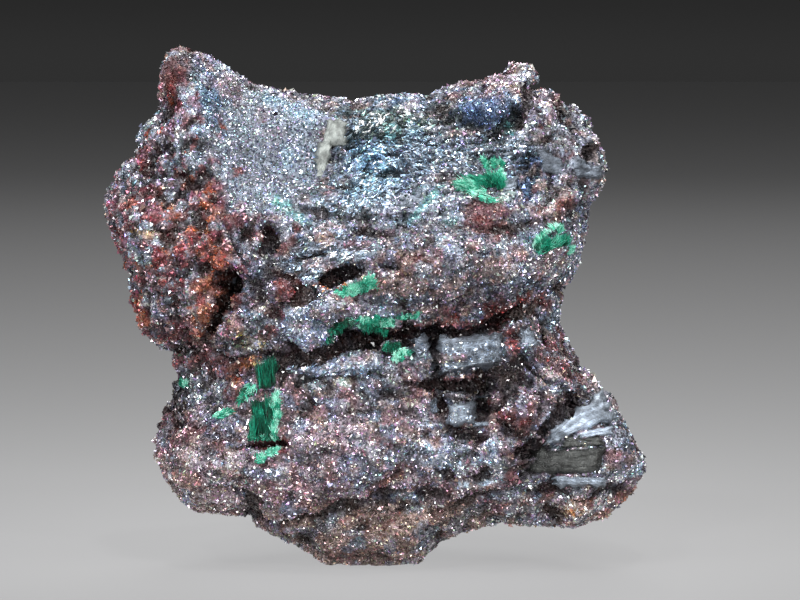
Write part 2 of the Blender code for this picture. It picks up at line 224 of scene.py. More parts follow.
# ---- Features of the form ------------------------------------------------------------------------
@dataclass(frozen=True)
class Swell:
    """A rounded swell, or a hollow where its height is below 0."""

    x: float
    z: float
    half_x: float
    half_z: float
    turn: float
    height: float

    def reach(self, x: Array, z: Array) -> Array:
        """Squared distance from the middle, in half widths: 1 on the edge."""
        c, s = math.cos(math.radians(self.turn)), math.sin(math.radians(self.turn))
        across, up = x - self.x, z - self.z
        return ((across * c - up * s) / self.half_x) ** 2 + ((across * s + up * c) / self.half_z) ** 2

    def rise(self, x: Array, z: Array) -> Array:
        """height (1 - reach)^1.5 inside the edge, and 0 outside it."""
        return self.height * np.clip(1.0 - self.reach(x, z), 0.0, 1.0) ** 1.5


@dataclass(frozen=True)
class Cleft:
    """A cleft that runs along a route and tapers to its ends."""

    half_width: float
    depth: float
    route: Route

    def follow(self, x: Array, z: Array) -> tuple[Array, Array]:
        """Distance from the route, and the share of its length at the nearest place."""
        route = np.array(self.route)
        lengths = np.hypot(*np.diff(route, axis=0).T)
        nearest, along = np.full(len(x), 99.0), np.zeros(len(x))
        for k, (start, end) in enumerate(itertools.pairwise(route)):
            step = end - start
            t = np.clip(((x - start[0]) * step[0] + (z - start[1]) * step[1]) / (step @ step), 0.0, 1.0)
            distance = np.hypot(x - start[0] - t * step[0], z - start[1] - t * step[1])
            closer = distance < nearest
            nearest = np.where(closer, distance, nearest)
            along = np.where(closer, (lengths[:k].sum() + t * lengths[k]) / lengths.sum(), along)
        return nearest, along

    def rise(self, x: Array, z: Array) -> Array:
        """-depth e(1 - distance / half_width) e(4 share + 0.3), e eased and share from the nearer end."""
        nearest, along = self.follow(x, z)
        taper = eased(4.0 * np.minimum(along, 1.0 - along) + 0.3)
        return -self.depth * eased(1.0 - nearest / self.half_width) * taper


@dataclass(frozen=True)
class Ledge:
    """A set-back under an edge, which eases away below and at both ends."""

    drop: float
    run: float
    edge: Route

    def rise(self, x: Array, z: Array) -> Array:
        """-drop e(below / 0.5) e((run - below) / run), with e eased, below the edge only."""
        edge = np.array(self.edge)
        below = np.interp(x, edge[:, 0], edge[:, 1]) - z
        inside = eased((x - edge[0, 0]) / 2.0) * eased((edge[-1, 0] - x) / 2.0)
        return -self.drop * inside * eased(below / 0.5) * eased((self.run - below) / self.run)


@dataclass(frozen=True)
class Break:
    """A broken face of the back or the sides."""

    facing: Triple
    distance: float

    def cut(self, points: Array, left: float) -> Array:
        """Moves what lies past the face back to it, apart from a share that is left."""
        facing = np.array(self.facing) / np.linalg.norm(self.facing)
        over = (points - HEART) @ facing - self.distance
        return points - facing * ((1.0 - left) * np.clip(over, 0.0, None))[:, None]


OUTLINE = (
    (13.8, 18.1), (13.9, 16.2), (14.8, 14.3), (16.3, 12.9), (17.7, 11.6), (18.3, 9.5),
    (19.9, 7.4), (19.3, 6.1), (18.1, 5.0), (16.3, 3.2), (14.1, 2.9), (12.4, 2.4),
    (10.5, 2.9), (8.8, 2.8), (7.3, 1.8), (5.2, 1.3), (3.8, 0.0), (2.5, -0.9),
    (0.6, -1.2), (-2.7, -1.2), (-4.6, -0.4), (-6.7, 1.1), (-9.2, 2.1), (-10.2, 2.5),
    (-10.6, 3.5), (-12.4, 3.6), (-15.0, 3.8), (-15.9, 5.1), (-17.2, 6.5), (-18.0, 7.7),
    (-18.1, 9.0), (-17.8, 10.9), (-16.7, 12.2), (-16.5, 13.4), (-16.8, 15.4), (-18.7, 16.9),
    (-19.5, 19.0), (-20.0, 21.2), (-20.3, 23.1), (-21.2, 25.5), (-21.2, 27.1), (-20.4, 28.9),
    (-18.8, 31.0), (-18.6, 32.5), (-17.7, 33.7), (-17.2, 35.9), (-16.7, 37.4), (-15.9, 38.2),
    (-14.3, 38.2), (-12.9, 37.1), (-11.5, 36.4), (-9.9, 35.8), (-7.6, 35.5), (-4.7, 35.3),
    (-2.6, 35.2), (-0.9, 35.4), (3.1, 35.6), (4.9, 36.2), (7.3, 36.6), (8.5, 36.5),
    (9.1, 37.3), (10.0, 37.7), (10.8, 37.2), (10.9, 35.9), (12.9, 34.5), (15.0, 33.4),
    (16.2, 31.3), (16.9, 29.7), (16.4, 28.6), (15.8, 26.4), (15.3, 24.1), (15.0, 22.3),
    (14.2, 21.2), (13.8, 19.4),
)  # fmt: skip

FRONT_SWELLS = (
    Swell(2.5, 31, 14.5, 4.6, 3, -3.2),
    Swell(-9.3, 31.3, 4.4, 6.2, -20, -2.4),
    Swell(-15.2, 33, 2.4, 5.5, 5, 1.4),
    Swell(-16, 23, 6.5, 7.5, 0, 2.2),
    Swell(3.5, 22.5, 12.5, 3.2, -4, 1.8),
    Swell(-5.5, 24.2, 4.5, 2.4, 0, 0.8),
    Swell(-4.5, 18.9, 4.5, 1.9, -8, 1.3),
    Swell(-4.2, 14.6, 4.6, 1.2, -3, 0.8),
    Swell(6.3, 15.5, 6.4, 1.5, -4, 2.4),
    Swell(5.3, 11.2, 1.5, 1.2, 0, 1.6),
    Swell(9.8, 11.6, 1.7, 2.4, 0, 1.5),
    Swell(13.2, 14.8, 3.2, 3.4, 30, 1.1),
    Swell(15.2, 7.8, 4.8, 3, -8, 2.2),
    Swell(-3, 8.6, 9.5, 4.6, 0, 2.3),
    Swell(8.2, 8.3, 2.6, 2.1, 0, 1.6),
    Swell(6, 5.6, 2.4, 1, -8, 0.9),
    Swell(-13.2, 7.5, 4.2, 4, 0, 1.4),
    Swell(0.6, 2.6, 8, 2.4, 0, 0.8),
    Swell(14.6, 30.6, 2.4, 2.4, 0, 1.9),
    Swell(15, 30.3, 1.1, 0.9, 0, -2.4),
    Swell(12.6, 33.4, 1.6, 1.4, 0, 1.4),
    Swell(7.8, 33.5, 3.2, 1.4, -3, -1.5),
    Swell(-8.5, 20.5, 1.3, 1, 0, 1.1),
    Swell(-10.6, 26, 1.2, 1, 0, 0.7),
)
FRONT_CLEFTS = (
    Cleft(3, 1.2, ((-16, 13.8), (-7.9, 15.3), (-0.8, 16.9), (6.8, 17.7), (13.5, 19.4))),
    Cleft(0.80, 2.4, ((-4.8, 16.3), (-3.4, 16.7), (-0.8, 17), (2, 17.2))),
    Cleft(0.45, 2.4, ((0.5, 17.3), (2.3, 17.2), (4.5, 17.2), (7, 17.4), (9, 18.1), (11, 19.2))),
    Cleft(0.40, 1.8, ((2.4, 13.3), (5, 13.3), (7.6, 13.1))),
    Cleft(0.60, 1.6, ((-5.4, 21), (-3.8, 21.3), (-2, 22.1))),
    Cleft(0.55, 1.7, ((9, 8.3), (10.4, 8.3), (11.4, 8.9))),
    Cleft(0.35, 1.3, ((11.2, 9.4), (12.8, 10.8), (14.8, 12.5))),
    Cleft(0.30, 1.6, ((3.1, 17.6), (3.3, 15.6), (3.5, 13.4))),
    Cleft(0.45, 0.3, ((11.2, 6.2), (14.6, 6), (18, 6.3))),
    Cleft(1.05, 3.2, ((-11.8, 21.6), (-12.3, 20))),
    Cleft(0.65, 2, ((-12.2, 20), (-12.8, 18.4), (-14, 16.9))),
    Cleft(0.60, 1.4, ((-9.2, 25.4), (-9.2, 23.2))),
)
FRONT_LEDGES = (
    Ledge(0.6, 3.4, ((-11, 3.6), (-5.2, 4.1), (-1.3, 5.4), (1.5, 5.8))),
    Ledge(0.4, 2.2, ((-8, 27.2), (-3, 26.3), (3, 26.6), (9, 28.2))),
    Ledge(0.3, 1.8, ((-2, 24.3), (5, 24.6), (12.5, 26.2))),
)
BACK_SWELLS = (
    Swell(7, 27, 9, 6, 20, 2.2),
    Swell(-9, 24, 8, 7, 0, 1.8),
    Swell(-2, 31.5, 6, 3, 0, -1.6),
    Swell(-7, 9.5, 8, 5.5, 0, 1.6),
    Swell(9, 9, 7, 5, -15, 2),
    Swell(1, 17.5, 3.5, 2.2, 0, 1.2),
)
BACK_CLEFTS = (
    Cleft(2.6, 1.8, ((-17, 15.5), (-6, 14.5), (4, 17), (14, 18.5))),
    Cleft(0.90, 2.6, ((-13, 15.2), (-6, 14.8), (1, 14.2), (5, 16.6), (12, 18.2))),
    Cleft(0.80, 1.8, ((0, 33), (-1.5, 27), (1, 21))),
    Cleft(0.80, 1.8, ((1, 11), (2.5, 6), (0.5, 2))),
)
BACK_LEDGES = (
    Ledge(1.2, 3.2, ((-16, 27), (-8, 28.5), (2, 27))),
    Ledge(1.1, 3, ((2, 9.5), (8, 10.5), (15, 9))),
)
BREAKS = (
    Break((0.30, 0.93, 0.20), 11.2),
    Break((-0.42, 0.86, 0.28), 11.8),
    Break((0.10, 0.90, -0.42), 12.9),
    Break((-0.60, 0.72, -0.35), 12.4),
    Break((0.82, 0.55, 0.15), 15.0),
    Break((-0.90, 0.40, 0.18), 18.2),
    Break((0.55, 0.62, -0.56), 16.2),
    Break((0.05, 0.62, 0.78), 16.2),
    Break((-0.86, -0.38, -0.34), 17.6),
)
SADDLE = Swell(-9.3, 31.3, 5.5, 7.0, -20, 1.6)
BASIN = Swell(3.0, 30.6, 11.0, 4.6, 3, 1.6)
SLAB = Swell(6.2, 15.5, 6.2, 1.5, -3, 1.6)
CALM_SADDLE = Swell(-8.3, 32.4, 7.4, 5.4, 25, 1)
PATCH_PLACE = Swell(-4.2, 31.3, 1.6, 3.6, -10, 1)
VEIN_FACE = Swell(13.6, 8.1, 4.2, 1.6, -3, 1.6)


@dataclass
class CrustForm:
    """The form of the mass, in mm on the plan of the outline, as its solid has it."""

    front_depth: float = 11.0
    back_depth: float = 12.0
    squareness: float = 2.5
    lean_back: float = 0.09
    rim_width: float = 0.22
    rim_inset: float = 0.55
    rim_calm: float = 0.12
    break_left: float = 0.15
    lump_layers: tuple[tuple[float, float, int], ...] = ((0.70, 7.0, 3), (0.50, 3.1, 11), (0.25, 1.5, 23))
    knob_height: float = 0.9
    knob_size: float = 2.1

    def outline_radius(self) -> tuple[Array, Array, Array]:
        """Radius of the outline about the heart.

        Returns:
            Even angles, the radius at each, and the same with its small knobs smoothed away.
        """
        corners = np.array(OUTLINE) - (HEART[0], HEART[2])
        around = np.arctan2(corners[:, 1], corners[:, 0])
        order = np.argsort(around)
        angles = np.linspace(-math.pi, math.pi, 720, endpoint=False)
        sharp = np.interp(angles, around[order], np.hypot(*corners.T)[order], period=2 * math.pi)
        sharp -= self.rim_inset
        window = np.hanning(61)
        padded = np.concatenate([sharp[-30:], sharp, sharp[:30]])
        return angles, sharp, np.convolve(padded, window / window.sum(), mode="valid")

    def base(self, directions: Array) -> tuple[Array, Array]:
        """The smooth mass: s^q + d^q = 1 ties the share s of the outline's radius to the share d of the depth.

        Args:
            directions: Directions from the heart, of length 1, one row each.

        Returns:
            The point in each direction, and its share s of the outline's radius.
        """
        angles, sharp, smooth = self.outline_radius()
        x, y, z = directions.T
        side = np.hypot(x, z)
        size = (side**self.squareness + np.abs(y) ** self.squareness) ** (1.0 / self.squareness)
        side, deep = side / size, y / size
        angle = np.arctan2(z, x)
        at_rim = eased((side - (1.0 - self.rim_width)) / self.rim_width)
        fine = np.interp(angle, angles, sharp, period=2 * math.pi)
        broad = np.interp(angle, angles, smooth, period=2 * math.pi)
        radius = side * (broad + at_rim * (fine - broad))
        x, z = HEART[0] + radius * np.cos(angle), HEART[2] + radius * np.sin(angle)
        points = np.stack([x, deep, z], axis=1)
        points[:, 1] *= np.where(deep < 0.0, self.front_depth, self.back_depth)
        points[:, 1] += self.lean_back * (points[:, 2] - HEART[2])
        for face in BREAKS:
            points = face.cut(points, self.break_left)
        return points, side

    def relief(self, points: Array, side: Array) -> Array:
        """How far each point moves out along its normal: lumps and knobs, and each face's own features.

        Args:
            points: Points of the smooth mass in mm.
            side: Each point's share of the outline's radius.

        Returns:
            The move of each point in mm.
        """
        x, y, z = EYE.plan(points).T
        front = front_share(points)
        inner = eased((1.0 - side) / self.rim_calm)
        height = sum(high * lumps(points, size, seed) for high, size, seed in self.lump_layers)
        left_lobe = eased((-9.5 - x) / 3.0) * eased((z - 14.0) / 3.0)
        knobbly = np.clip(0.35 + left_lobe + 0.5 * (1.0 - front), 0.0, 1.0)
        knobbly *= 1.0 - np.clip(SADDLE.rise(x, z) * front, 0.0, 1.0)
        height += self.knob_height * (knobs(points, self.knob_size, 31) - 0.4) * knobbly
        for face, swells, clefts, ledges in (
            (front, FRONT_SWELLS, FRONT_CLEFTS, FRONT_LEDGES),
            (1.0 - front, BACK_SWELLS, BACK_CLEFTS, BACK_LEDGES),
        ):
            height += face * inner * sum(shape.rise(x, z) for shape in swells)
            height += face * sum(shape.rise(x, z) for shape in clefts)
            height += face * sum(shape.rise(x, z) for shape in ledges)
        return height


def mound(shape: Swell, points: Array) -> Array:
    """1 in the middle of a shape of the show face, and 0 outside it."""
    high = 2.0 * shape.rise(points[:, 0], points[:, 2]) / shape.height
    return np.clip(high, 0.0, 1.0) * front_share(points)


# ---- Colour zones --------------------------------------------------------------------------------
@dataclass(frozen=True)
class Zone:
    """A patch of colour on the show face, with a ragged edge.

    Attributes:
        x, z, half_x, half_z, turn: The patch's ellipse, in mm and degrees.
        tint: Its colour.
        strength: How much of the colour shows.
        bare: How far the druse gives way to smooth mineral.
        grain: Size of its crystals against the usual.
        gleam: How bright its crystals are against the usual. In some zones a low gleam paints shade and a high
            gleam paints light onto shaded places.
        some: The share of its crystals that take its look.
    """

    x: float
    z: float
    half_x: float
    half_z: float
    turn: float
    tint: Tint
    strength: float = 0.85
    bare: float = 0.0
    grain: float = 1.0
    gleam: float = 1.0
    some: float = 1.0

    def look(self) -> Array:
        """Its row of a look."""
        return np.array([*self.tint.value, self.bare, self.grain, self.gleam])

    def share(self, points: Array) -> Array:
        """strength e((1 - r) / 0.4 + 0.5), with r the reach moved by noise, e eased."""
        x, _, z = points.T
        reach = np.sqrt(Swell(self.x, self.z, self.half_x, self.half_z, self.turn, 1.0).reach(x, z))
        near = np.flatnonzero(reach < 1.9)
        size = float(np.clip(0.8 * min(self.half_x, self.half_z), 0.3, 1.6))
        reach[near] += 0.50 * lumps(points[near], size, 5) + 0.35 * lumps(points[near], 0.45 * size, 6)
        return self.strength * eased((1.0 - reach) / 0.4 + 0.5)


# Some zones paint shade into clefts, pits and hollows, and some paint light onto places in shade.
FRONT_ZONES = (
    Zone(-3, 8.5, 19, 9, 0, ROSE, 0.8, gleam=1.08),
    Zone(1, 1.8, 13, 3.4, 3, UMBER, 0.9, gleam=0.70, grain=0.85),
    Zone(-14, 5.5, 5, 3, 0, UMBER, 0.55, gleam=0.85),
    Zone(-12.5, 7.6, 4.5, 1.4, 15, SILVER, 0.35),
    Zone(-16.8, 24.5, 6.8, 10.5, 0, PLUM, 0.9, grain=1.15),
    Zone(-16.8, 25, 6, 10, 0, MAROON, 0.85, some=0.5),
    Zone(-17.2, 26, 5, 9, 0, SILVER, 0.7, gleam=1.4, some=0.16),
    Zone(-16, 34, 2.2, 4.5, 5, PLUM, 0.9, grain=1.3),
    Zone(-14.4, 28.2, 1.7, 2.8, 0, WINE, 0.85, grain=1.1),
    Zone(-13.2, 24.5, 1, 4, 3, MAROON, 0.8, grain=1.1),
    Zone(-13.9, 25.6, 0.5, 2.6, 3, RUST, 0.7),
    Zone(-15.6, 37.3, 1.1, 1.2, 0, AMBER, 0.8, gleam=0.4),
    Zone(-14.8, 37, 2.2, 1.4, 0, UMBER, 0.7, gleam=0.45),
    Zone(-16, 36, 0.8, 0.8, 0, MAROON, 0.8),
    Zone(-16.3, 34.2, 0.7, 1.6, 0, WINE, 0.9),
    Zone(-14.9, 32.2, 0.5, 0.4, 0, RUST, 0.8),
    Zone(-13.2, 31.9, 1.2, 1.6, 0, SILVER, 0.8, gleam=1.25),
    Zone(-17.5, 33.1, 0.9, 0.9, 0, ICE, 0.9, grain=1.6, gleam=1.6),
    Zone(-17.5, 28, 2.8, 2.4, 0, STEEL, 0.5, grain=1.3, gleam=1.2),
    Zone(-18.6, 30.2, 0.8, 1.8, 20, WINE, 0.8),
    Zone(-15.4, 25.6, 1.4, 1.2, 0, MAROON, 0.7),
    Zone(-18.3, 24.6, 1.2, 0.35, 10, OCHRE, 0.65),
    Zone(-18.7, 23.2, 0.8, 0.8, 0, STEEL, 0.8),
    Zone(-16.5, 23.7, 3, 0.8, -35, RUST, 0.9, some=0.7),
    Zone(-13.4, 24.6, 1, 3.2, 0, RUST, 0.9, some=0.6),
    Zone(-18.7, 18.8, 0.8, 1.4, -10, RUST, 0.95, some=0.85),
    Zone(-14, 19.2, 1.7, 2.1, 10, MAROON, 0.98, gleam=0.5),
    Zone(-13.9, 19.3, 1.6, 2.2, 10, RUST, 0.98, gleam=0.8, some=0.75),
    Zone(-13.9, 19.4, 1.1, 1.4, 0, AMBER, 0.9, some=0.45),
    Zone(-15.6, 17.6, 0.9, 1.4, 0, MAROON, 0.8),
    Zone(-13.2, 18.3, 0.6, 0.8, 20, RUST, 0.9, some=0.6),
    Zone(-16.7, 26.4, 1, 0.8, 0, RUST, 0.85, some=0.7),
    Zone(-17.8, 27.7, 1.1, 0.5, 0, MAROON, 0.8),
    Zone(-12.2, 23.6, 0.6, 1.1, 0, RUST, 0.9, some=0.7),
    Zone(-17.4, 22.7, 0.7, 0.5, 0, WINE, 0.85),
    Zone(-15.8, 35.2, 0.8, 0.9, 0, WINE, 0.8, gleam=1.2),
    Zone(-14.2, 30.3, 1.1, 1.5, 0, WINE, 0.8),
    Zone(-16.3, 31, 3, 2, -30, RUST, 0.8, some=0.25),
    Zone(-9.3, 31, 5.6, 6.6, -20, SILVER, 0.9, grain=0.72),
    Zone(-9, 30.5, 3.6, 3, -20, LILAC, 0.4, grain=0.72),
    Zone(-13.4, 34.3, 1, 3.6, 4, BLUE, 0.95, grain=0.8, gleam=0.85),
    Zone(-14.4, 36.6, 0.5, 1.6, 10, ICE, 0.6, grain=0.8),
    Zone(-11.9, 35.6, 0.8, 1.6, -25, ROSE, 0.7, grain=0.8),
    Zone(-9.4, 33.8, 0.6, 0.7, 0, WINE, 0.3, grain=0.8),
    Zone(-5.6, 34.4, 3.6, 1, 8, ICE, 0.7, grain=0.8),
    Zone(-6.4, 31.4, 1.4, 2.6, 15, ICE, 0.5, grain=0.8),
    Zone(0.5, 30.4, 8, 3.8, 3, STEEL, 0.8, bare=0.45, grain=0.9),
    Zone(0.8, 33.6, 5.2, 1.5, 3, INK, 0.85, bare=0.45, grain=0.9),
    Zone(2, 34.5, 3.5, 0.4, 3, BLUE, 0.6, gleam=1.2),
    Zone(-1.6, 31.6, 2.6, 1.3, -20, INK, 0.8, bare=0.4),
    Zone(0.1, 32.6, 3.3, 1.5, 0, INK, 0.95, bare=0.2),
    Zone(0.4, 32.7, 3.5, 1.2, -3, MINT, 1, gleam=1.8, grain=1.5, some=0.24),
    Zone(-0.6, 30.2, 3, 1.8, -30, INK, 0.9, bare=0.2),
    Zone(-0.6, 30.2, 3, 1.7, -30, BLUE, 1, gleam=1.3, grain=1.3, some=0.45),
    Zone(-1, 29.6, 3.4, 1.9, -30, ICE, 1, gleam=1.4, grain=1.2, some=0.30),
    Zone(-2.6, 27.4, 2.4, 1.2, -25, INK, 0.85, bare=0.2),
    Zone(-2.2, 27.8, 3, 1.2, -20, SILVER, 1, gleam=1.4, some=0.28),
    Zone(0.2, 32.4, 0.6, 0.5, 0, TURQUOISE, 0.35),
    Zone(-2.6, 30, 1.9, 1, -35, BLUE, 0.8, bare=0.2, gleam=1.3),
    Zone(-1.2, 28.6, 2.6, 0.8, -30, ICE, 0.6, bare=0.2, gleam=1.2),
    Zone(1.7, 30.6, 1.8, 1.2, -30, STEEL, 0.9, bare=0.8, gleam=0.85),
    Zone(1.8, 27.4, 1.6, 0.5, -20, STEEL, 0.9, bare=0.9),
    Zone(3.6, 27.6, 1.6, 1.8, 0, SILVER, 0.6, gleam=1.3),
    Zone(-0.8, 27.3, 2.4, 1, -12, SILVER, 0.6, bare=0.3),
    Zone(-4.3, 28.1, 2.4, 0.9, -15, INK, 0.65, bare=0.2),
    Zone(-7.9, 26.6, 1, 0.5, 35, TURQUOISE, 0.7, gleam=1.1),
    Zone(-6.8, 25.8, 0.9, 0.35, 25, TURQUOISE, 0.5, gleam=1.1),
    Zone(-3.9, 29.2, 0.35, 1.8, 12, BLACK, 0.7),
    Zone(7, 33.8, 2.3, 1.3, -3, SLATE, 0.95, gleam=0.95, grain=0.8),
    Zone(3.9, 33.8, 1.2, 1.1, -10, INK, 0.97, bare=0.4),
    Zone(3.9, 33.8, 1.1, 1, 0, SILVER, 0.9, gleam=1.4, some=0.12),
    Zone(9.5, 33.6, 1, 1.2, 20, SLATE, 0.9, bare=0.3, gleam=0.8),
    Zone(9.5, 33.7, 0.9, 1.1, 0, SILVER, 0.9, gleam=1.4, some=0.2),
    Zone(5.3, 32.1, 1.4, 0.35, -3, ROSE, 0.85, bare=0.8),
    Zone(8.8, 32.5, 0.55, 0.55, 30, TURQUOISE, 1, gleam=2.2, grain=1.5),
    Zone(6.3, 30.9, 3.8, 1.2, 3, STEEL, 0.85, bare=0.5),
    Zone(7, 31.6, 2.4, 0.5, 4, INK, 0.4, bare=0.2, gleam=1.4),
    Zone(6.2, 31.9, 2.8, 0.8, -4, SILVER, 1, gleam=1.6, some=0.35),
    Zone(5, 29, 2.2, 1, -20, LILAC, 0.6, grain=0.85),
    Zone(7.2, 36, 4.2, 1, -9, ROSE, 0.7, gleam=1.1),
    Zone(12, 33.7, 2.2, 2.2, 0, PLUM, 0.5, grain=1.45, gleam=1.4),
    Zone(7.9, 36, 0.5, 0.35, 0, SILVER, 1, grain=1.6, gleam=2),
    Zone(10.1, 36.5, 0.7, 0.9, 0, SILVER, 0.9, grain=1.5, gleam=1.8, some=0.6),
    Zone(11.6, 33.7, 0.4, 0.9, 0, SILVER, 1, grain=1.7, gleam=2.2, some=0.6),
    Zone(9, 31.3, 1, 0.25, 10, SILVER, 1, grain=1.3, gleam=2, some=0.6),
    Zone(11.3, 32.4, 0.45, 0.3, 0, WINE, 0.95),
    Zone(12, 32, 0.4, 0.35, 0, MINT, 0.9, gleam=1.6, grain=1.5),
    Zone(14.2, 32.2, 1.9, 1.7, 0, LILAC, 0.7, grain=1.4, gleam=0.9),
    Zone(13.3, 33.3, 0.45, 1.3, -30, BLACK, 0.9, gleam=0.3),
    Zone(14.8, 30.8, 0.9, 0.75, 15, BLACK, 0.98, gleam=0.2),
    Zone(13.2, 30.6, 3, 1.6, 22, STEEL, 0.9, bare=0.8, gleam=0.8),
    Zone(10.6, 30, 1.2, 1.6, 10, STEEL, 0.8, bare=0.6),
    Zone(10.6, 28.7, 1, 1.8, 10, SLATE, 0.95, gleam=0.6),
    Zone(14.5, 28.5, 0.4, 0.25, 0, WINE, 0.8),
    Zone(8.6, 27.4, 0.8, 0.4, -30, MINT, 0.7, gleam=1.4),
    Zone(12.4, 27, 1.8, 0.9, -38, UMBER, 0.7),
    Zone(13, 26.6, 0.5, 1.2, 35, MAROON, 0.8, gleam=0.7),
    Zone(10.8, 25.8, 0.35, 0.3, 0, BLUE, 0.8),
    Zone(2.6, 26.7, 2, 0.25, -48, TURQUOISE, 0.45, bare=0.3),
    Zone(1.2, 25.5, 1.6, 0.35, -14, ICE, 0.5, bare=0.3),
    Zone(4.6, 25.4, 0.6, 0.45, 0, TURQUOISE, 0.6),
    Zone(8.4, 24.6, 0.4, 0.5, 0, TURQUOISE, 0.6),
    Zone(3, 24, 8.5, 1.7, -3, STEEL, 0.45, grain=0.9),
    Zone(7.2, 24.3, 1.1, 1, 0, PLUM, 0.6, gleam=0.8),
    # painted light: lightens the face under the brow, which the overhang shades
    Zone(12, 22.6, 3, 1.2, 14, SILVER, 0.7, gleam=1.7),
    Zone(-2.9, 23.4, 0.9, 0.5, 20, WINE, 0.8),
    Zone(0.3, 22.5, 1.3, 0.8, 10, HOLLOW, 0.75, gleam=0.6),
    # painted shade: darkens a hollow
    Zone(-7.7, 24.4, 1, 1, 0, PLUM, 0.85, gleam=0.7),
    Zone(4, 22.6, 5, 0.3, 0, MAROON, 0.55, gleam=0.8),
    Zone(12.5, 21.5, 1.8, 0.35, 18, ICE, 0.45),
    Zone(5.5, 21.3, 6.5, 1.1, -4, UMBER, 0.6, gleam=0.85, grain=0.75),
    Zone(6.6, 18.5, 5.8, 0.85, -11, MAROON, 0.98, gleam=1.1, some=0.92),
    Zone(6.8, 18.6, 5.6, 0.8, -11, BLACK, 0.9, gleam=0.4, some=0.35),
    Zone(3.4, 18.9, 1.6, 0.6, -10, ROSE, 0.5, gleam=1.5, grain=1.2),
    Zone(6.2, 18.7, 0.8, 0.6, 0, ROSE, 0.6, gleam=1.6, grain=1.3),
    Zone(4.6, 17.25, 4, 0.22, 0, BLACK, 0.9, gleam=0.2),
    Zone(9.6, 18.6, 1.7, 0.45, -28, BLACK, 0.95, gleam=0.2),
    Zone(3.3, 15.8, 0.25, 2, -5, BLACK, 0.9, gleam=0.2),
    Zone(6, 14, 2.8, 0.45, -12, MAROON, 0.9, gleam=1.3, some=0.85),
    Zone(11.3, 18, 0.9, 0.9, 0, SILVER, 0.8, gleam=1.2, grain=1.3),
    Zone(-2, 16.8, 2.1, 0.75, -12, BLACK, 0.95, gleam=0.1),
    Zone(-1.6, 16.9, 1.8, 0.5, -8, RUST, 0.9, gleam=1.4, some=0.35),
    Zone(-10, 24.4, 2.4, 1.6, 20, PLUM, 0.8, grain=1.3),
    Zone(-9.4, 23.9, 0.9, 0.7, 0, STEEL, 0.8),
    Zone(-6.8, 22.6, 3, 1.5, -15, STEEL, 0.7, bare=0.3),
    Zone(-3.4, 22.9, 2.6, 0.5, -14, SILVER, 1, gleam=1.3),
    Zone(-4, 21.5, 1.9, 0.55, -18, BLACK, 0.9, gleam=0.2),
    Zone(-4.5, 20.9, 1.1, 0.5, -10, RUST, 0.95, gleam=1.5, some=0.7),
    Zone(-7.3, 20.5, 0.9, 0.9, 0, MAROON, 0.95, gleam=0.6),
    Zone(-7.6, 20.6, 0.8, 0.9, 0, MAROON, 0.9),
    Zone(-7.3, 20.3, 0.5, 0.5, 20, WINE, 0.9, gleam=1.3, some=0.4),
    Zone(-6.2, 18.2, 3.2, 1.6, 0, LILAC, 0.75, grain=0.75, gleam=1.1),
    Zone(-11.4, 18.7, 1, 1.8, 25, PLUM, 0.7, gleam=0.6),
    Zone(-9.9, 17.8, 1.6, 0.8, -25, SILVER, 0.5),
    Zone(-8.5, 18.6, 0.8, 0.4, 10, WINE, 0.9),
    Zone(-9.2, 17.1, 1.1, 0.6, -20, MAROON, 0.95, gleam=0.8),
    Zone(-3.9, 15, 1, 0.7, 0, HOLLOW, 0.6),
    Zone(-13.4, 14.6, 2.6, 1.1, 12, MAROON, 0.9, some=0.75),
    Zone(-11.6, 13.2, 0.9, 1.8, 0, MAROON, 0.9, gleam=0.8, some=0.85),
    Zone(-11.6, 13.8, 0.5, 0.9, 0, RUST, 0.95, some=0.8),
    Zone(-10.8, 16.4, 1.1, 0.7, 0, OCHRE, 1, gleam=1.7, some=0.6),
    Zone(-10.9, 14.9, 1.2, 0.4, -18, AMBER, 1, gleam=2.2, some=0.9),
    # painted shade: darkens the pit, with the near-black zones after it
    Zone(-12.3, 20.4, 1.1, 1.5, 20, MAROON, 1, gleam=0.35),
    Zone(-11.9, 20.5, 0.7, 1.2, 20, BLACK, 0.98, gleam=0.1),
    Zone(-12.8, 18.4, 0.5, 1.2, 35, BLACK, 0.9, gleam=0.2),
    Zone(-13.7, 17, 0.4, 0.8, 30, BLACK, 0.8, gleam=0.3),
    Zone(-6.5, 17, 2.2, 0.8, 0, LILAC, 0.9, gleam=1.1),
    # painted shade: darkens a hollow, in brown
    Zone(-6.2, 15.2, 1.9, 0.40, 0, UMBER, 0.75, bare=0.5, gleam=0.7),
    Zone(-6, 14.4, 1.8, 0.5, 0, STEEL, 0.7, bare=0.3),
    Zone(-1.8, 14.7, 2.2, 1.2, 20, SILVER, 0.65, bare=0.2),
    Zone(-6.2, 13.4, 0.9, 0.6, 40, TURQUOISE, 0.35),
    Zone(-3.2, 13.5, 0.6, 0.4, 10, MINT, 0.6, gleam=1.3),
    Zone(5.9, 15.6, 5.4, 1.4, -3, STEEL, 0.9, bare=0.4, gleam=1),
    Zone(9.2, 16.6, 0.5, 1.2, 0, MAROON, 0.95, gleam=1.7, some=0.9),
    Zone(12.6, 17.6, 1.8, 1.2, -20, STEEL, 0.7, gleam=1.1),
    Zone(13.4, 14.4, 3, 2.8, 20, PLUM, 0.85, grain=0.8, gleam=0.8),
    Zone(12.6, 13.6, 3, 2.8, 20, MAROON, 0.85, some=0.2),
    Zone(9.2, 11.2, 1.6, 2.4, 0, MAROON, 0.6, gleam=1.2, some=0.7),
    Zone(8.1, 11.6, 0.7, 0.9, 0, MAROON, 0.95, gleam=1.4, some=0.85),
    Zone(9.4, 9.8, 1.1, 1.6, 0, MAROON, 0.95, gleam=0.6, some=0.85),
    Zone(11.6, 11.8, 0.8, 1.6, 10, ROSE, 0.6),
    Zone(5.2, 13.1, 2.3, 0.45, 0, BLACK, 0.95, gleam=0.2),
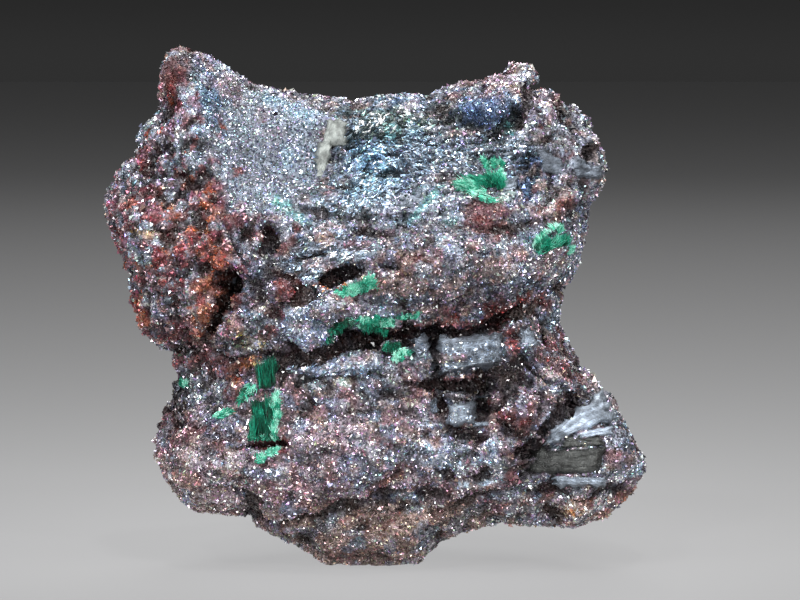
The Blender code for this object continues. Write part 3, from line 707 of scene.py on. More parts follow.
    Zone(6.9, 12.1, 0.8, 0.9, 0, BLACK, 0.95, gleam=0.2),
    Zone(5.4, 11.3, 1.9, 1.2, 0, BLACK, 0.9, gleam=0.3),
    Zone(1.6, 13, 1.4, 0.8, 0, MAROON, 0.7, gleam=0.8),
    Zone(10.1, 8.3, 1, 0.5, -10, BLACK, 0.95, gleam=0.2),
    Zone(12.9, 8.5, 0.3, 0.6, 10, BLACK, 0.9, gleam=0.2),
    Zone(18.4, 8.8, 0.35, 0.9, -35, BLACK, 0.9, gleam=0.3),
    Zone(13.9, 9.6, 4, 2.2, -25, STEEL, 0.7, bare=0.5, gleam=0.8),
    Zone(16.4, 11.2, 1.5, 2.2, -20, SILVER, 0.45, gleam=1.1),
    Zone(18.6, 7.2, 0.7, 1.2, 10, SILVER, 0.5, gleam=1.1, grain=1.2),
    Zone(14.6, 4.4, 4.2, 1.4, 0, UMBER, 0.85, grain=1.2, gleam=1.55),
    Zone(17, 8.6, 1.2, 1.9, 0, STEEL, 0.9, gleam=0.42),
    Zone(16.7, 8, 0.6, 0.4, 0, MAROON, 0.9),
    Zone(17.4, 4.6, 0.8, 0.5, 0, RUST, 0.7),
    Zone(13.6, 3.7, 0.6, 0.35, 0, AMBER, 0.8),
    Zone(11.8, 6.8, 0.8, 0.6, 0, WINE, 0.5),
    Zone(7.9, 8.4, 1.8, 1.5, 0, SILVER, 0.45),
    Zone(4, 8.6, 1.8, 1.8, 0, SILVER, 0.4, gleam=1.1),
    Zone(5.4, 7.7, 1.6, 1.3, 0, SILVER, 0.7, gleam=1.4),
    Zone(5.7, 7.1, 0.7, 0.4, 0, ROSE, 0.9, gleam=1.7, grain=1.4),
    # painted light: lightens the shade under the low ledge
    Zone(2.2, 5.7, 3, 0.9, 10, ROSE, 0.8, gleam=1.45),
    Zone(-9.6, 6.2, 4.2, 2.2, 0, ROSE, 0.7, gleam=1.45),
    # painted light: lightens a shaded place under the white band
    Zone(14, 5.5, 2.6, 0.9, 0, ROSE, 0.8, gleam=1.5),
    Zone(6.3, 5.9, 1.7, 0.35, -6, ICE, 0.9, bare=0.6),
    Zone(1.6, 8.2, 2.2, 1.2, 0, SILVER, 0.5, gleam=1.2),
    Zone(-3.2, 9.6, 3, 1.8, 0, ROSE, 0.5, gleam=1.2),
    Zone(1.4, 5, 1.3, 0.35, 5, ICE, 0.7),
    Zone(1.8, 3.9, 1, 0.4, 0, ICE, 0.5),
    Zone(-0.6, 5.9, 1.6, 0.3, -28, RUST, 0.6),
    Zone(-0.4, 4.9, 0.9, 0.4, 10, SLATE, 0.7),
    Zone(-1, 10.6, 0.5, 1.6, 10, TURQUOISE, 0.3),
    Zone(-2.3, 1.6, 0.3, 0.3, 0, TURQUOISE, 0.5),
    Zone(-9.2, 2.8, 1.8, 0.5, 20, MAROON, 0.5, gleam=0.7),
    Zone(-16.4, 10, 1.3, 2, 0, MAROON, 0.65),
    Zone(-9.2, 8.9, 1.8, 0.6, 0, MAROON, 0.9, gleam=0.6),
    Zone(-14, 9.4, 2.6, 1, 0, PLUM, 0.8, gleam=0.5),
    # painted light: lightens the face beneath the lobe, which lies in its shade
    Zone(-14.4, 13, 2.4, 1, 5, SILVER, 0.8, gleam=1.8),
    Zone(-6.6, 11.8, 1.2, 1.6, 0, PLUM, 0.4),
    Zone(-15.4, 31.9, 3, 1.3, 0, SILVER, 0.5, gleam=1.4),
    Zone(4.6, 29.9, 1.8, 1.2, -10, SILVER, 0.6, gleam=1.3),
    Zone(11, 28.3, 1, 1.2, 0, INK, 0.7, gleam=0.6),
    Zone(-7.8, 24.3, 1, 1, 0, HOLLOW, 0.6, gleam=0.6),
    # painted shade: darkens a hollow
    Zone(0.7, 22.5, 1.8, 0.9, 0, UMBER, 0.6, gleam=0.6),
    Zone(0.5, 13.1, 2.3, 1, 0, PLUM, 0.85, gleam=0.5),
    Zone(9.2, 9.3, 0.9, 0.9, 0, HOLLOW, 0.6),
    Zone(1.9, 2.2, 2.2, 1.4, 0, UMBER, 0.8, gleam=0.55),
    Zone(9.3, 3.8, 1.6, 1, 0, UMBER, 0.7, gleam=0.7),
    Zone(-10.6, 23.4, 1.8, 1.8, 0, WINE, 0.8, some=0.35),
    Zone(9, 4.8, 2.6, 1.4, 0, WINE, 0.6, some=0.3),
    Zone(-15.6, 37.4, 1.6, 1.4, 0, PLUM, 0.7, gleam=0.5),
    Zone(-13.6, 32.9, 1.6, 1.4, 0, SILVER, 0.6, gleam=1.5),
    # painted shade: darkens a hollow
    Zone(0.6, 22.6, 2.2, 1, 0, PLUM, 0.7, gleam=0.5),
    Zone(-7.8, 20.4, 1.2, 1.1, 0, MAROON, 0.8, gleam=0.6),
    Zone(12.6, 31.2, 1.2, 1.4, 0, PLUM, 0.7, gleam=0.6),
    Zone(-7.7, 11.2, 1.2, 1, 0, PLUM, 0.6, gleam=0.6),
    Zone(6, 7.4, 1.4, 1.2, 0, SILVER, 0.6, gleam=1.5),
    Zone(-6.2, 5.6, 2, 1.4, 0, ROSE, 0.7, gleam=1.5),
    Zone(-11.6, 5.2, 1.6, 1.6, 0, ROSE, 0.7, gleam=1.5),
    Zone(3.35, 15.4, 0.28, 1.7, 0, BLACK, 1, 1, gleam=0.1),
    Zone(2.6, 22.2, 6, 1.2, -4, PLUM, 0.35, gleam=0.7, some=0.5),
    Zone(-13.4, 19.8, 1.5, 2.4, 0, RUST, 0.6, gleam=0.5),
    Zone(-16.1, 36.2, 0.9, 2.2, 0, MAROON, 0.75, gleam=0.5),
    Zone(10.1, 29.4, 0.7, 2.2, 8, SLATE, 0.8, gleam=0.6),
    Zone(7.2, 26.2, 1.6, 1, 8, MAROON, 0.8, gleam=0.55),
    Zone(7.4, 25.1, 1.9, 0.6, 8, MAROON, 0.8, gleam=0.6),
    Zone(2.6, 26.9, 0.3, 2, 40, TURQUOISE, 0.45),
    Zone(9.9, 13.6, 2.2, 1.6, 0, ROSE, 0.8, gleam=1.1),
    # painted shade: darkens a dark hollow column
    Zone(9.1, 8.2, 0.8, 2.8, 0, PLUM, 0.75, gleam=0.5),
    Zone(-11.5, 15, 1.2, 0.9, 0, MAROON, 0.7, gleam=0.5),
    Zone(-11.4, 11.3, 1, 0.9, 0, PLUM, 0.7, gleam=0.5),
    Zone(-7.8, 14.9, 1.8, 0.7, 0, SILVER, 0.7, gleam=1.4),
    Zone(1.7, 31.9, 0.9, 0.8, 0, ICE, 0.3, gleam=1.2),
    Zone(10.3, 31.9, 1, 0.9, 0, SILVER, 0.6, gleam=1.5),
    # painted light: lightens the face under the brow, which the overhang shades
    Zone(11.4, 22.5, 2.4, 1.2, 0, ROSE, 0.8, gleam=1.9),
    Zone(3.5, 24.4, 1, 0.9, 0, SILVER, 0.6, gleam=1.4),
    Zone(3.5, 9.5, 1, 0.8, 0, PLUM, 0.6, gleam=0.6),
    Zone(5.6, 31.9, 1.6, 0.6, 0, STEEL, 0.6, gleam=1.5),
    Zone(16.7, 8.6, 0.9, 1.6, 0, PLUM, 0.8, gleam=0.5),
    Zone(-4, 9.4, 1.2, 1, 0, ROSE, 0.6, gleam=1.4),
    Zone(-2.1, 13, 1, 0.8, 0, SILVER, 0.6, gleam=1.4),
    Zone(3.4, 5.6, 1.2, 0.9, 0, ROSE, 0.6, gleam=1.4),
)

COOL = (
    Swell(0.5, 31, 5.5, 4, 0, 1),
    Swell(7.2, 33.6, 3.4, 1.8, 0, 1),
    Swell(7, 30.6, 5.5, 1.6, 0, 1),
    Swell(2.5, 26.6, 8.5, 2, 0, 0.7),
)
SPECKS = (
    (44, 0.9, 0.28, MAROON, 0.55),
    (45, 1.1, 0.32, BLUE, 0.45),
    (46, 0.7, 0.34, UMBER, 0.55),
    (47, 1.3, 0.36, SILVER, 0.5),
)


LEFT_LOBE = Zone(-17.4, 26.5, 5.6, 8.6, 0, PLUM)
PATCHES = ((41, ROSE, 0.7), (42, SILVER, 0.6), (43, PLUM, 0.8))
WARM_KNOBS = ((0.25, WINE, 0.8), (0.62, MAROON, 0.8), (0.86, RUST, 0.8))
COOL_KNOBS = ((0.30, STEEL), (0.75, SILVER))


def plain_look(tint: Tint) -> Array:
    """The look of a tint with usual crystals."""
    return np.array([*tint.value, 0.0, 1.0, 1.0])


def stain(looks: Array, share: Array, colour: Array | tuple[float, ...]) -> None:
    """Moves the colour and metal of each look towards others by its share."""
    looks[:, :BARE] += share[:, None] * (colour - looks[:, :BARE])


@dataclass
class Painting:
    """Where the crust takes which look, with painted shade in its hollows and painted light on its crests. A
    look is a row: red, green, blue, metal, bare, grain and gleam.
    """

    usual: Tint = LILAC
    patch: float = 6.0
    rust_patch: float = 1.6
    shade_from: float = 0.04
    # painted shade: the depths below the surface round a point over which the crust darkens fully
    shade_to: float = 0.22
    crest_highlight: float = 0.45
    # painted light: how much lighter crests are made

    def lay(self, looks: Array, share: Array, look: Array) -> None:
        """Moves each look towards another by its share."""
        looks += share[:, None] * (look - looks)

    def at(self, points: Array, sunk: Array, chance: Array | None = None) -> Array:
        """The looks of the crust at points in mm on the plan of the outline.

        Args:
            points: Places on the finished surface.
            sunk: How far each lies below the surface round it, in mm; the deeper, the more painted shade.
            chance: A random number from 0 to 1 for each. Where only some take a zone's look, it picks them.

        Returns:
            A look for each point.
        """
        points = EYE.plan(points)
        looks = np.tile(plain_look(self.usual), (len(points), 1))
        front = front_share(points)
        for seed, tint, strength in PATCHES:
            patch = eased(2.2 * lumps(points, self.patch, seed) + 0.3 * lumps(points, 1.3, seed))
            self.lay(looks, strength * patch * (1.0 - 0.7 * front), plain_look(tint))
        saddle = np.clip(1.4 * SADDLE.rise(*points[:, [0, 2]].T), 0.0, 1.0) * front
        calm = 1.0 - 0.8 * saddle
        still = 1.0 - 0.9 * saddle
        rust = 3.0 * lumps(points, self.rust_patch, 51) + 1.5 * lumps(points, 5.0, 52)
        rusty = still * eased(rust - 1.6)
        self.lay(looks, 0.6 * rusty * (1.0 - 0.5 * front), plain_look(MAROON))
        for number, zone in enumerate(FRONT_ZONES):
            picked = zone.some if chance is None else np.modf(chance * (7 + number))[0] < zone.some
            self.lay(looks, front * zone.share(points) * picked, zone.look())
        cool = np.clip(sum(mound(shape, points) for shape in COOL), 0.0, 1.0)
        red = np.clip(2.0 - 3.0 * looks[:, GREEN] / looks[:, RED], 0.0, 1.0) * front
        for seed, size, level, tint, strength in SPECKS:
            noise = lumps(points, size, seed) + 0.25 * lumps(points, 0.3 * size, seed)
            speck = eased(5.0 * (noise - level) + 0.5)
            speck *= strength * calm * (1.0 - 0.85 * cool) * (1.0 - 0.8 * red)
            stain(looks, speck, tint.value)
        lobe = np.clip(LEFT_LOBE.share(points), 0.0, 1.0) * front
        _, own = nearest_knob(points, 0.85, 61)
        for level, tint, strength in WARM_KNOBS:
            stain(looks, strength * lobe * eased(6.0 * (own - level)), tint.value)
        for level, tint in COOL_KNOBS:
            stain(looks, 0.7 * lobe * eased(6.0 * (-own - level)), tint.value)
        tone = 1.0 + calm * (0.30 * lumps(points, 1.5, 62) + 0.40 * lumps(points, 0.5, 63))
        # painted light: crests, which stand above the surface round them, are made lighter
        tone *= 1.0 + self.crest_highlight * calm * eased(-(sunk + self.shade_from) / 0.12)
        looks[:, :METAL] *= tone[:, None]
        # painted shade: what lies sunk below the surface round it darkens towards a dark brown, or a dark
        # green-black in the cool parts of the basin, and its crystals gleam less
        hollow = eased((sunk - self.shade_from) / (self.shade_to - self.shade_from)) * still
        shade_tints = HOLLOW.value + cool[:, None] * (np.array(INK.value) - HOLLOW.value)
        stain(looks, 0.85 * hollow, shade_tints)
        looks[:, GLEAM] *= 1.0 - 0.6 * hollow
        return looks


# ---- Meshes --------------------------------------------------------------------------------------
def place(points: Array) -> Array:
    """Points of the plan in mm, as points of the frame in metres."""
    return (points - FOOT) * MM


def make_mesh(
    name: str,
    points: Array,
    faces: Array,
    colours: dict[str, Array],
    material: bpy.types.Material,
    smooth: bool,
) -> bpy.types.Object:
    """Makes one piece from arrays and rides it on the specimen.

    Args:
        name: The piece's name.
        points: Its points in mm on the plan of the outline.
        faces: Its faces, all with the same number of corners, wound to face outwards.
        colours: For each attribute's name, a colour and one more value for each point, or one value.
        material: Its finish.
        smooth: Whether its faces are shaded as one smooth surface.

    Returns:
        The piece.
    """
    mesh = bpy.data.meshes.new(name)
    corners = faces.shape[1]
    mesh.vertices.add(len(points))
    mesh.vertices.foreach_set("co", place(points).astype(np.float32).ravel())
    mesh.loops.add(faces.size)
    mesh.loops.foreach_set("vertex_index", faces.astype(np.int32).ravel())
    mesh.polygons.add(len(faces))
    mesh.polygons.foreach_set("loop_start", np.arange(0, faces.size, corners, dtype=np.int32))
    mesh.polygons.foreach_set("use_smooth", np.full(len(faces), smooth))
    mesh.update(calc_edges=True)
    for attribute, values in colours.items():
        single = values.ndim == 1
        layer = mesh.attributes.new(attribute, "FLOAT" if single else "FLOAT_COLOR", "POINT")
        layer.data.foreach_set("value" if single else "color", values.astype(np.float32).ravel())
    mesh.materials.append(material)
    piece = bpy.data.objects.new(name, mesh)
    bpy.context.scene.collection.objects.link(piece)
    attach(piece, BODY)
    low, high = points.min(axis=0).round(2).tolist(), points.max(axis=0).round(2).tolist()
    log.info("%s: %d triangles from %s to %s mm", name, len(faces) * (corners - 2), low, high)
    return piece


def lay_flat(piece: bpy.types.Object, corners: Array) -> None:
    """Gives a piece a UV map, from the place of each face's corners, one row each."""
    layer = piece.data.uv_layers.new(name="OFBake")
    layer.data.foreach_set("uv", corners.astype(np.float32).ravel())


def small_cells(count: int) -> Array:
    """The corners of triangles that lie each in a cell of its own, in a square of even cells."""
    side = math.ceil(math.sqrt(count))
    cell = np.stack(np.divmod(np.arange(count), side), axis=1)
    corner = np.array([(0.15, 0.15), (0.85, 0.15), (0.15, 0.85)])
    return ((cell[:, None] + corner) / side).reshape(-1, 2)


def unit(vectors: Array) -> Array:
    """Vectors, one row each, at length 1."""
    return vectors / np.maximum(np.linalg.norm(vectors, axis=1, keepdims=True), 1e-12)


def point_normals(points: Array, quads: Array) -> Array:
    """Normal at each point: the sum of (c - a) x (d - b) over its faces a b c d, at length 1."""
    a, b, c, d = (points[quads[:, k]] for k in range(4))
    across = np.cross(c - a, d - b)
    corner = quads.ravel()
    total = [np.bincount(corner, np.repeat(across[:, axis], 4), len(points)) for axis in range(3)]
    return unit(np.stack(total, axis=1))


def sunk_below(points: Array, quads: Array, normals: Array, rounds: int) -> Array:
    """How far each point lies below the surface round it.

    Each round moves every point to the mean of the corners that share an edge with it, and the answer is the
    way from the point to its last place, along its normal.

    Args:
        points: The surface in mm.
        quads: Its faces.
        normals: Its outward normals.
        rounds: How many rounds, and so how wide the surface round a point is.

    Returns:
        The depth of each point in mm, below 0 on crests.
    """
    here = quads[:, [0, 1, 2, 3, 0, 1, 2, 3]].ravel()
    there = quads[:, [1, 2, 3, 0, 3, 0, 1, 2]].ravel()
    weight = np.bincount(here, minlength=len(points))[:, None]
    smooth = points
    for _ in range(rounds):
        total = [np.bincount(here, smooth[there, axis], len(points)) for axis in range(3)]
        smooth = np.stack(total, axis=1) / weight
    return ((smooth - points) * normals).sum(axis=1)


def sphere_grid(steps: int) -> tuple[Array, Array, Array]:
    """A closed sphere of six square grids.

    A grid's two parameters u and v run from -1 to 1. A point is at length 1 along
    out + tan(u pi/4) right + tan(v pi/4) up, which keeps the squares nearly even.

    Args:
        steps: Squares along a grid's side.

    Returns:
        The points, each once, the squares, wound to face outwards, and the UV place of each square's
        corners, with the grids laid out three by two.
    """
    run = np.tan(np.linspace(-1.0, 1.0, steps + 1) * math.pi / 4)
    u, v = np.meshgrid(run, run, indexing="ij")
    index = np.arange((steps + 1) ** 2).reshape(steps + 1, steps + 1)
    corners = (index[:-1, :-1], index[1:, :-1], index[1:, 1:], index[:-1, 1:])
    square = np.stack(corners, axis=-1).reshape(-1, 4)
    flat = np.stack(np.divmod(square, steps + 1), axis=-1) / steps
    sides, squares, places = [], [], []
    for axis, sign in itertools.product(range(3), (1.0, -1.0)):
        out, right = np.zeros(3), np.zeros(3)
        out[axis], right[(axis + 1) % 3] = sign, 1.0
        up = np.cross(out, right)
        sides.append((out + u[..., None] * right + v[..., None] * up).reshape(-1, 3))
        cell = np.array([axis, (1.0 + sign) / 2])
        places.append((cell + 0.01 + 0.98 * flat) / (3.0, 2.0))
        squares.append(square + (len(squares) * index.size))
    points = unit(np.concatenate(sides))
    keys = np.round(points * 1e6).astype(np.int64)
    _, first, same = np.unique(keys, axis=0, return_index=True, return_inverse=True)
    return points[first], same.ravel()[np.concatenate(squares)], np.concatenate(places).reshape(-1, 2)


# ---- Shader bench --------------------------------------------------------------------------------
@dataclass(frozen=True)
class Value:
    """A socket that gives a number. Arithmetic on it adds Math nodes."""

    bench: "Bench"
    socket: bpy.types.NodeSocket

    def through(self, operation: str, *others: "Value | float", swapped: bool = False) -> "Value":
        """One Math node of this value and the others, the other first where they are swapped."""
        terms = (*others, self) if swapped else (self, *others)
        node = self.bench.node("ShaderNodeMath", {"operation": operation}, dict(enumerate(terms)))
        return Value(self.bench, node.outputs[0])

    def __add__(self, other: "Value | float") -> "Value":
        """self + other."""
        return self.through("ADD", other)

    def __radd__(self, other: float) -> "Value":
        """other + self."""
        return self.through("ADD", other)

    def __sub__(self, other: "Value | float") -> "Value":
        """self - other."""
        return self.through("SUBTRACT", other)

    def __rsub__(self, other: float) -> "Value":
        """other - self."""
        return self.through("SUBTRACT", other, swapped=True)

    def __mul__(self, other: "Value | float") -> "Value":
        """self * other."""
        return self.through("MULTIPLY", other)

    def __rmul__(self, other: float) -> "Value":
        """other * self."""
        return self.through("MULTIPLY", other)

    def __truediv__(self, other: "Value | float") -> "Value":
        """self / other."""
        return self.through("DIVIDE", other)

    def __rtruediv__(self, other: float) -> "Value":
        """other / self."""
        return self.through("DIVIDE", other, swapped=True)

    def __pow__(self, other: float) -> "Value":
        """self to the power other."""
        return self.through("POWER", other)

    def ramp(self, low: float, high: float) -> "Value":
        """0 below low, 1 above high, and eased between."""
        sockets = {0: self, 1: low, 2: high, 3: 0.0, 4: 1.0}
        node = self.bench.node("ShaderNodeMapRange", {"interpolation_type": "SMOOTHSTEP"}, sockets)
        return Value(self.bench, node.outputs[0])


class Bench:
    """Builds one material's nodes."""

    def __init__(self, name: str) -> None:
        """Starts a material of this name with a lone Principled shader."""
        self.material = bpy.data.materials.new(name)
        self.material.use_nodes = True
        self.tree = self.material.node_tree
        self.shader = self.tree.nodes["Principled BSDF"]
        self.places = self.node("ShaderNodeTexCoord", {}, {}).outputs["Object"]

    def node(self, kind: str, settings: dict[str, Any], sockets: dict[int | str, Any]) -> bpy.types.Node:
        """Adds one node.

        Args:
            kind: The node's type.
            settings: Its properties, which are set first.
            sockets: For each input's name or number, the value or link that goes in.

        Returns:
            The node.
        """
        node = self.tree.nodes.new(kind)
        for setting, value in settings.items():
            setattr(node, setting, value)
        for key, value in sockets.items():
            self.feed(node.inputs[key], value)
        return node

    def feed(self, socket: bpy.types.NodeSocket, value: Any) -> None:
        """Links a socket to a value, or sets it."""
        if isinstance(value, Value):
            value = value.socket
        if isinstance(value, bpy.types.NodeSocket):
            self.tree.links.new(value, socket)
        else:
            socket.default_value = value

    def noise(self, cell: float, detail: float = 3.0, places: Any = None, roughness: float = 0.6) -> Value:
        """Noise from 0 to 1 with features of about one cell, in mm."""
        sockets = {"Vector": places or self.places, "Scale": 1.0 / (cell * MM), "Detail": detail}
        node = self.node("ShaderNodeTexNoise", {}, sockets | {"Roughness": roughness})
        return Value(self, node.outputs[0])

    def grains(self, cell: float, places: Any = None) -> bpy.types.Node:
        """A Voronoi node whose cells measure about one cell, in mm."""
        sockets = {"Vector": places or self.places, "Scale": 1.0 / (cell * MM)}
        return self.node("ShaderNodeTexVoronoi", {"feature": "F1"}, sockets)

    def stretched(self, turn: Triple, scale: Triple) -> bpy.types.NodeSocket:
        """The places, turned by degrees and then stretched."""
        turned = {"Vector": self.places, "Rotation": tuple(map(math.radians, turn))}
        first = self.node("ShaderNodeMapping", {"vector_type": "POINT"}, turned).outputs[0]
        sockets = {"Vector": first, "Scale": scale}
        return self.node("ShaderNodeMapping", {"vector_type": "POINT"}, sockets).outputs[0]

    def paint(self, attribute: str) -> tuple[bpy.types.NodeSocket, Value]:
        """A piece's own colour attribute, and the value that is kept beside it."""
        node = self.node("ShaderNodeAttribute", {"attribute_name": attribute}, {})
        return node.outputs["Color"], Value(self, node.outputs["Alpha"])

    def number(self, attribute: str) -> Value:
        """A piece's own attribute of one value."""
        node = self.node("ShaderNodeAttribute", {"attribute_name": attribute}, {})
        return Value(self, node.outputs["Fac"])

    def mix(self, first: Any, second: Any, share: Any, blend: str = "MIX") -> bpy.types.NodeSocket:
        """Blends two colours by a share."""
        settings = {"data_type": "RGBA", "blend_type": blend}
        return self.node("ShaderNodeMix", settings, {0: share, 6: first, 7: second}).outputs[2]

    def scaled(self, colour: Any, value: Any) -> bpy.types.NodeSocket:
        """A colour times a number."""
        sockets = {0: colour, "Scale": value}
        return self.node("ShaderNodeVectorMath", {"operation": "SCALE"}, sockets).outputs[0]

    def glitter(self, cell: float, tilt: float) -> bpy.types.NodeSocket:
        """A normal that is tilted at random in each grain: n + tilt (c - 0.5), with c the grain's colour."""
        colour = self.grains(cell).outputs["Color"]
        centred = self.node("ShaderNodeVectorMath", {"operation": "SUBTRACT"}, {0: colour, 1: (0.5, 0.5, 0.5)})
        tilted = self.scaled(centred.outputs[0], tilt)
        normal = self.node("ShaderNodeNewGeometry", {}, {}).outputs["Normal"]
        total = self.node("ShaderNodeVectorMath", {"operation": "ADD"}, {0: normal, 1: tilted})
        sockets = {0: total.outputs[0]}
        return self.node("ShaderNodeVectorMath", {"operation": "NORMALIZE"}, sockets).outputs[0]

    def raised(self, height: Value, depth: float, normal: Any = None) -> bpy.types.NodeSocket:
        """A normal raised by a height of 0 to 1, with depth in mm."""
        sockets = {"Strength": 0.8, "Distance": depth * MM, "Height": height}
        if normal is not None:
            sockets["Normal"] = normal
        return self.node("ShaderNodeBump", {}, sockets).outputs[0]

    def dress(self, **sockets: Any) -> bpy.types.Material:
        """Feeds the shader, with words joined by _ for its sockets' names.

        Returns:
            The finished material.
        """
        for name, value in sockets.items():
            self.feed(self.shader.inputs[name.replace("_", " ").title().replace("Ior", "IOR")], value)
        return self.material


# ---- Finishes ------------------------------------------------------------------------------------
@dataclass(frozen=True)
class CrustFinish:
    """The mineral under and between the crystals, and the bare stretches."""

    grain: float = 0.12
    tilt: float = 1.2
    # painted shade: under the druse the crust is only this share as bright as where it is bare
    shade: float = 0.6

    def material(self) -> bpy.types.Material:
        """Dark and rough under the druse, with painted shade between the crystals, and silky with fine fibres
        where it is bare.
        """
        bench = Bench("crust")
        tint, bare = bench.paint("tint")
        metal = bench.number("metal")
        fibre = bench.number("fibre")
        mottle = bench.noise(0.4, 4.0).ramp(0.3, 0.7)
        fibres = bench.noise(0.16, 4.0, bench.stretched((0, 20, 0), (0.22, 1.0, 1.0))).ramp(0.25, 0.75)
        bright = (self.shade + (1.0 - self.shade) * bare) * (0.5 + 0.7 * mottle)
        bright = bright * (1.0 - 0.6 * fibre * (1.0 - fibres))
        height = fibres * (0.2 + fibre) + bench.noise(0.2, 3.0)
        return bench.dress(
            base_color=bench.scaled(tint, bright),
            roughness=0.36 - 0.1 * bare + 0.15 * mottle,
            metallic=metal * (0.9 - 0.3 * bare),
            normal=bench.raised(height, 0.06, bench.glitter(self.grain, self.tilt)),
        )


@dataclass(frozen=True)
class CrystalFinish:
    """Crystals with a metallic gleam. Each has its own colour, metal and roughness."""

    def material(self) -> bpy.types.Material:
        """The crystals' own colours, with a fine mottle. What is less metallic has a clear coat."""
        bench = Bench("crystals")
        tint, rough = bench.paint("tint")
        metal = bench.number("metal")
        mottle = bench.noise(0.09, 2.0).ramp(0.2, 0.8)
        return bench.dress(
            base_color=bench.scaled(tint, 0.8 + 0.4 * mottle),
            roughness=rough + 0.06 * mottle,
            metallic=metal,
            coat_weight=1.0 - 0.8 * metal,
            coat_roughness=0.08,
            coat_ior=1.6,
        )


@dataclass(frozen=True)
class MalachiteFinish:
    """Silky green fibres."""

    roughness: float = 0.36

    def material(self) -> bpy.types.Material:
        """The fibres' own greens, darker in streaks."""
        bench = Bench("malachite_fibres")
        tint, _ = bench.paint("tint")
        streak = bench.noise(0.10, 3.0).ramp(0.25, 0.7)
        green = bench.scaled(tint, 0.5 + 0.8 * streak)
        return bench.dress(base_color=green, roughness=self.roughness + 0.2 * streak)


@dataclass(frozen=True)
class PlateFinish:
    """A bare face of fibrous mineral.

    Attributes:
        name: The material's name.
        metallic: How metallic it is.
        roughness: Its roughness.
        streak: How strongly the fibres show in its colour.
        turn: Turn of the fibres in degrees about the axis that points back.
        depth: Depth of the fibres in mm.
        cell: Width of a fibre in mm.
    """

    name: str
    metallic: float
    roughness: float
    streak: float
    turn: float
    depth: float
    cell: float = 0.14

    def material(self) -> bpy.types.Material:
        """The plates' own colours, in light and dark fibres, with a fine mottle."""
        bench = Bench(self.name)
        tint, _ = bench.paint("tint")
        along = bench.stretched((0, self.turn, 0), (0.16, 1.0, 1.0))
        fibres = bench.noise(self.cell, 5.0, along, 0.7).ramp(0.28, 0.72)
        mottle = bench.noise(0.5, 4.0).ramp(0.25, 0.75)
        bright = (1.0 - self.streak * (1.0 - fibres)) * (0.65 + 0.5 * mottle)
        return bench.dress(
            base_color=bench.scaled(tint, bright),
            roughness=self.roughness + 0.15 * mottle,
            metallic=self.metallic,
            normal=bench.raised(fibres + 0.5 * mottle, self.depth, bench.glitter(0.2, 0.35 * self.streak)),
        )


@dataclass(frozen=True)
class FloorFinish:
    """A plain pale floor with a painted pool of light: it falls off into the dark."""

    near: Triple = (0.050, 0.050, 0.0507)
    far: Triple = (0.0125, 0.0125, 0.0127)
    near_glow: Triple = (0.450, 0.450, 0.455)
    far_glow: Triple = (0.004, 0.004, 0.0041)
    glow_power: float = 1.44
    half_way: float = 0.15
    power: float = 1.05

    def material(self) -> bpy.types.Material:
        """Pale near the specimen and darker with the distance d, a painted pool of light in its colour and its
        glow, and lit from within, like a light table.

        The near share is 1 / (1 + (d / half_way)^power).
        """
        bench = Bench("floor")
        length = bench.node("ShaderNodeVectorMath", {"operation": "LENGTH"}, {0: bench.places})
        far = Value(bench, length.outputs["Value"])
        share = 1.0 / (1.0 + (far * (1.0 / self.half_way)) ** self.power)
        return bench.dress(
            base_color=bench.mix((*self.far, 1.0), (*self.near, 1.0), share),
            emission_color=bench.mix((*self.far_glow, 1.0), (*self.near_glow, 1.0), share**self.glow_power),
            emission_strength=1.0,
            roughness=0.85,
        )


# ---- The mass ------------------------------------------------------------------------------------
RIGHT_EDGE = (
    (14.8, 2.8), (16.3, 3.4), (17.5, 4.3), (18.3, 5.2), (18.9, 6.2), (19.3, 7.0), (19.2, 8.0), (18.4, 9.2),
    (17.6, 10.7), (16.8, 12.4), (15.8, 13.4), (14.3, 15.1), (13.8, 16.0), (13.3, 17.0), (12.8, 17.9),
    (12.9, 18.8), (13.2, 20.5), (13.9, 21.5), (14.5, 23.2), (14.9, 25.0), (15.1, 26.8), (15.8, 27.8),
    (16.2, 28.7), (16.4, 29.5), (16.2, 30.5), (15.9, 31.3), (15.3, 32.3), (15.0, 33.1), (14.2, 34.0),
    (12.9, 34.9), (11.3, 35.8), (10.9, 36.9),
)  # fmt: skip
LEFT_EDGE = (
    (-14.4, 3.6), (-15.5, 4.3), (-16.3, 5.2), (-16.9, 6.1), (-17.4, 7.1), (-17.8, 8.0), (-17.8, 8.9),
    (-17.6, 9.8), (-17.1, 11.5), (-16.5, 12.5), (-16.1, 14.2), (-16.4, 15.1), (-17.1, 16.0), (-18.6, 17.0),
    (-19.1, 17.9), (-19.6, 19.7), (-19.7, 21.5), (-20.4, 23.2), (-21.2, 25.0), (-21.5, 26.4), (-21.4, 27.7),
    (-20.4, 29.6), (-19.2, 30.5), (-19.0, 32.3), (-18.2, 33.2), (-17.4, 34.1), (-17.5, 35.8), (-17.1, 37.6),
)  # fmt: skip
TOP_EDGE = (
    (-16.4, 38.5), (-15.5, 38.6), (-14.3, 38.3), (-13.1, 37.6), (-11.6, 36.8), (-10.5, 36.1), (-9.0, 35.7),
    (-6.8, 35.3), (-4.5, 35.0), (-2.6, 34.8), (-1.5, 35.0), (0.8, 35.2), (3.0, 35.2), (3.8, 35.6), (5.2, 36.1),
    (6.8, 36.3), (7.9, 36.6), (8.6, 36.9), (9.4, 37.4), (10.1, 37.6), (10.7, 37.2),
)  # fmt: skip
LOW_EDGE = (
    (-14.6, 3.7), (-12.8, 3.5), (-10.6, 3.3), (-9.9, 2.6), (-8.8, 1.9), (-6.8, 1.0), (-4.6, -0.4), (1.9, -0.6),
    (3.8, 1.4), (6.0, 2.3), (8.3, 2.8), (10.5, 2.6), (14.0, 2.5), (15.6, 3.1),
)  # fmt: skip
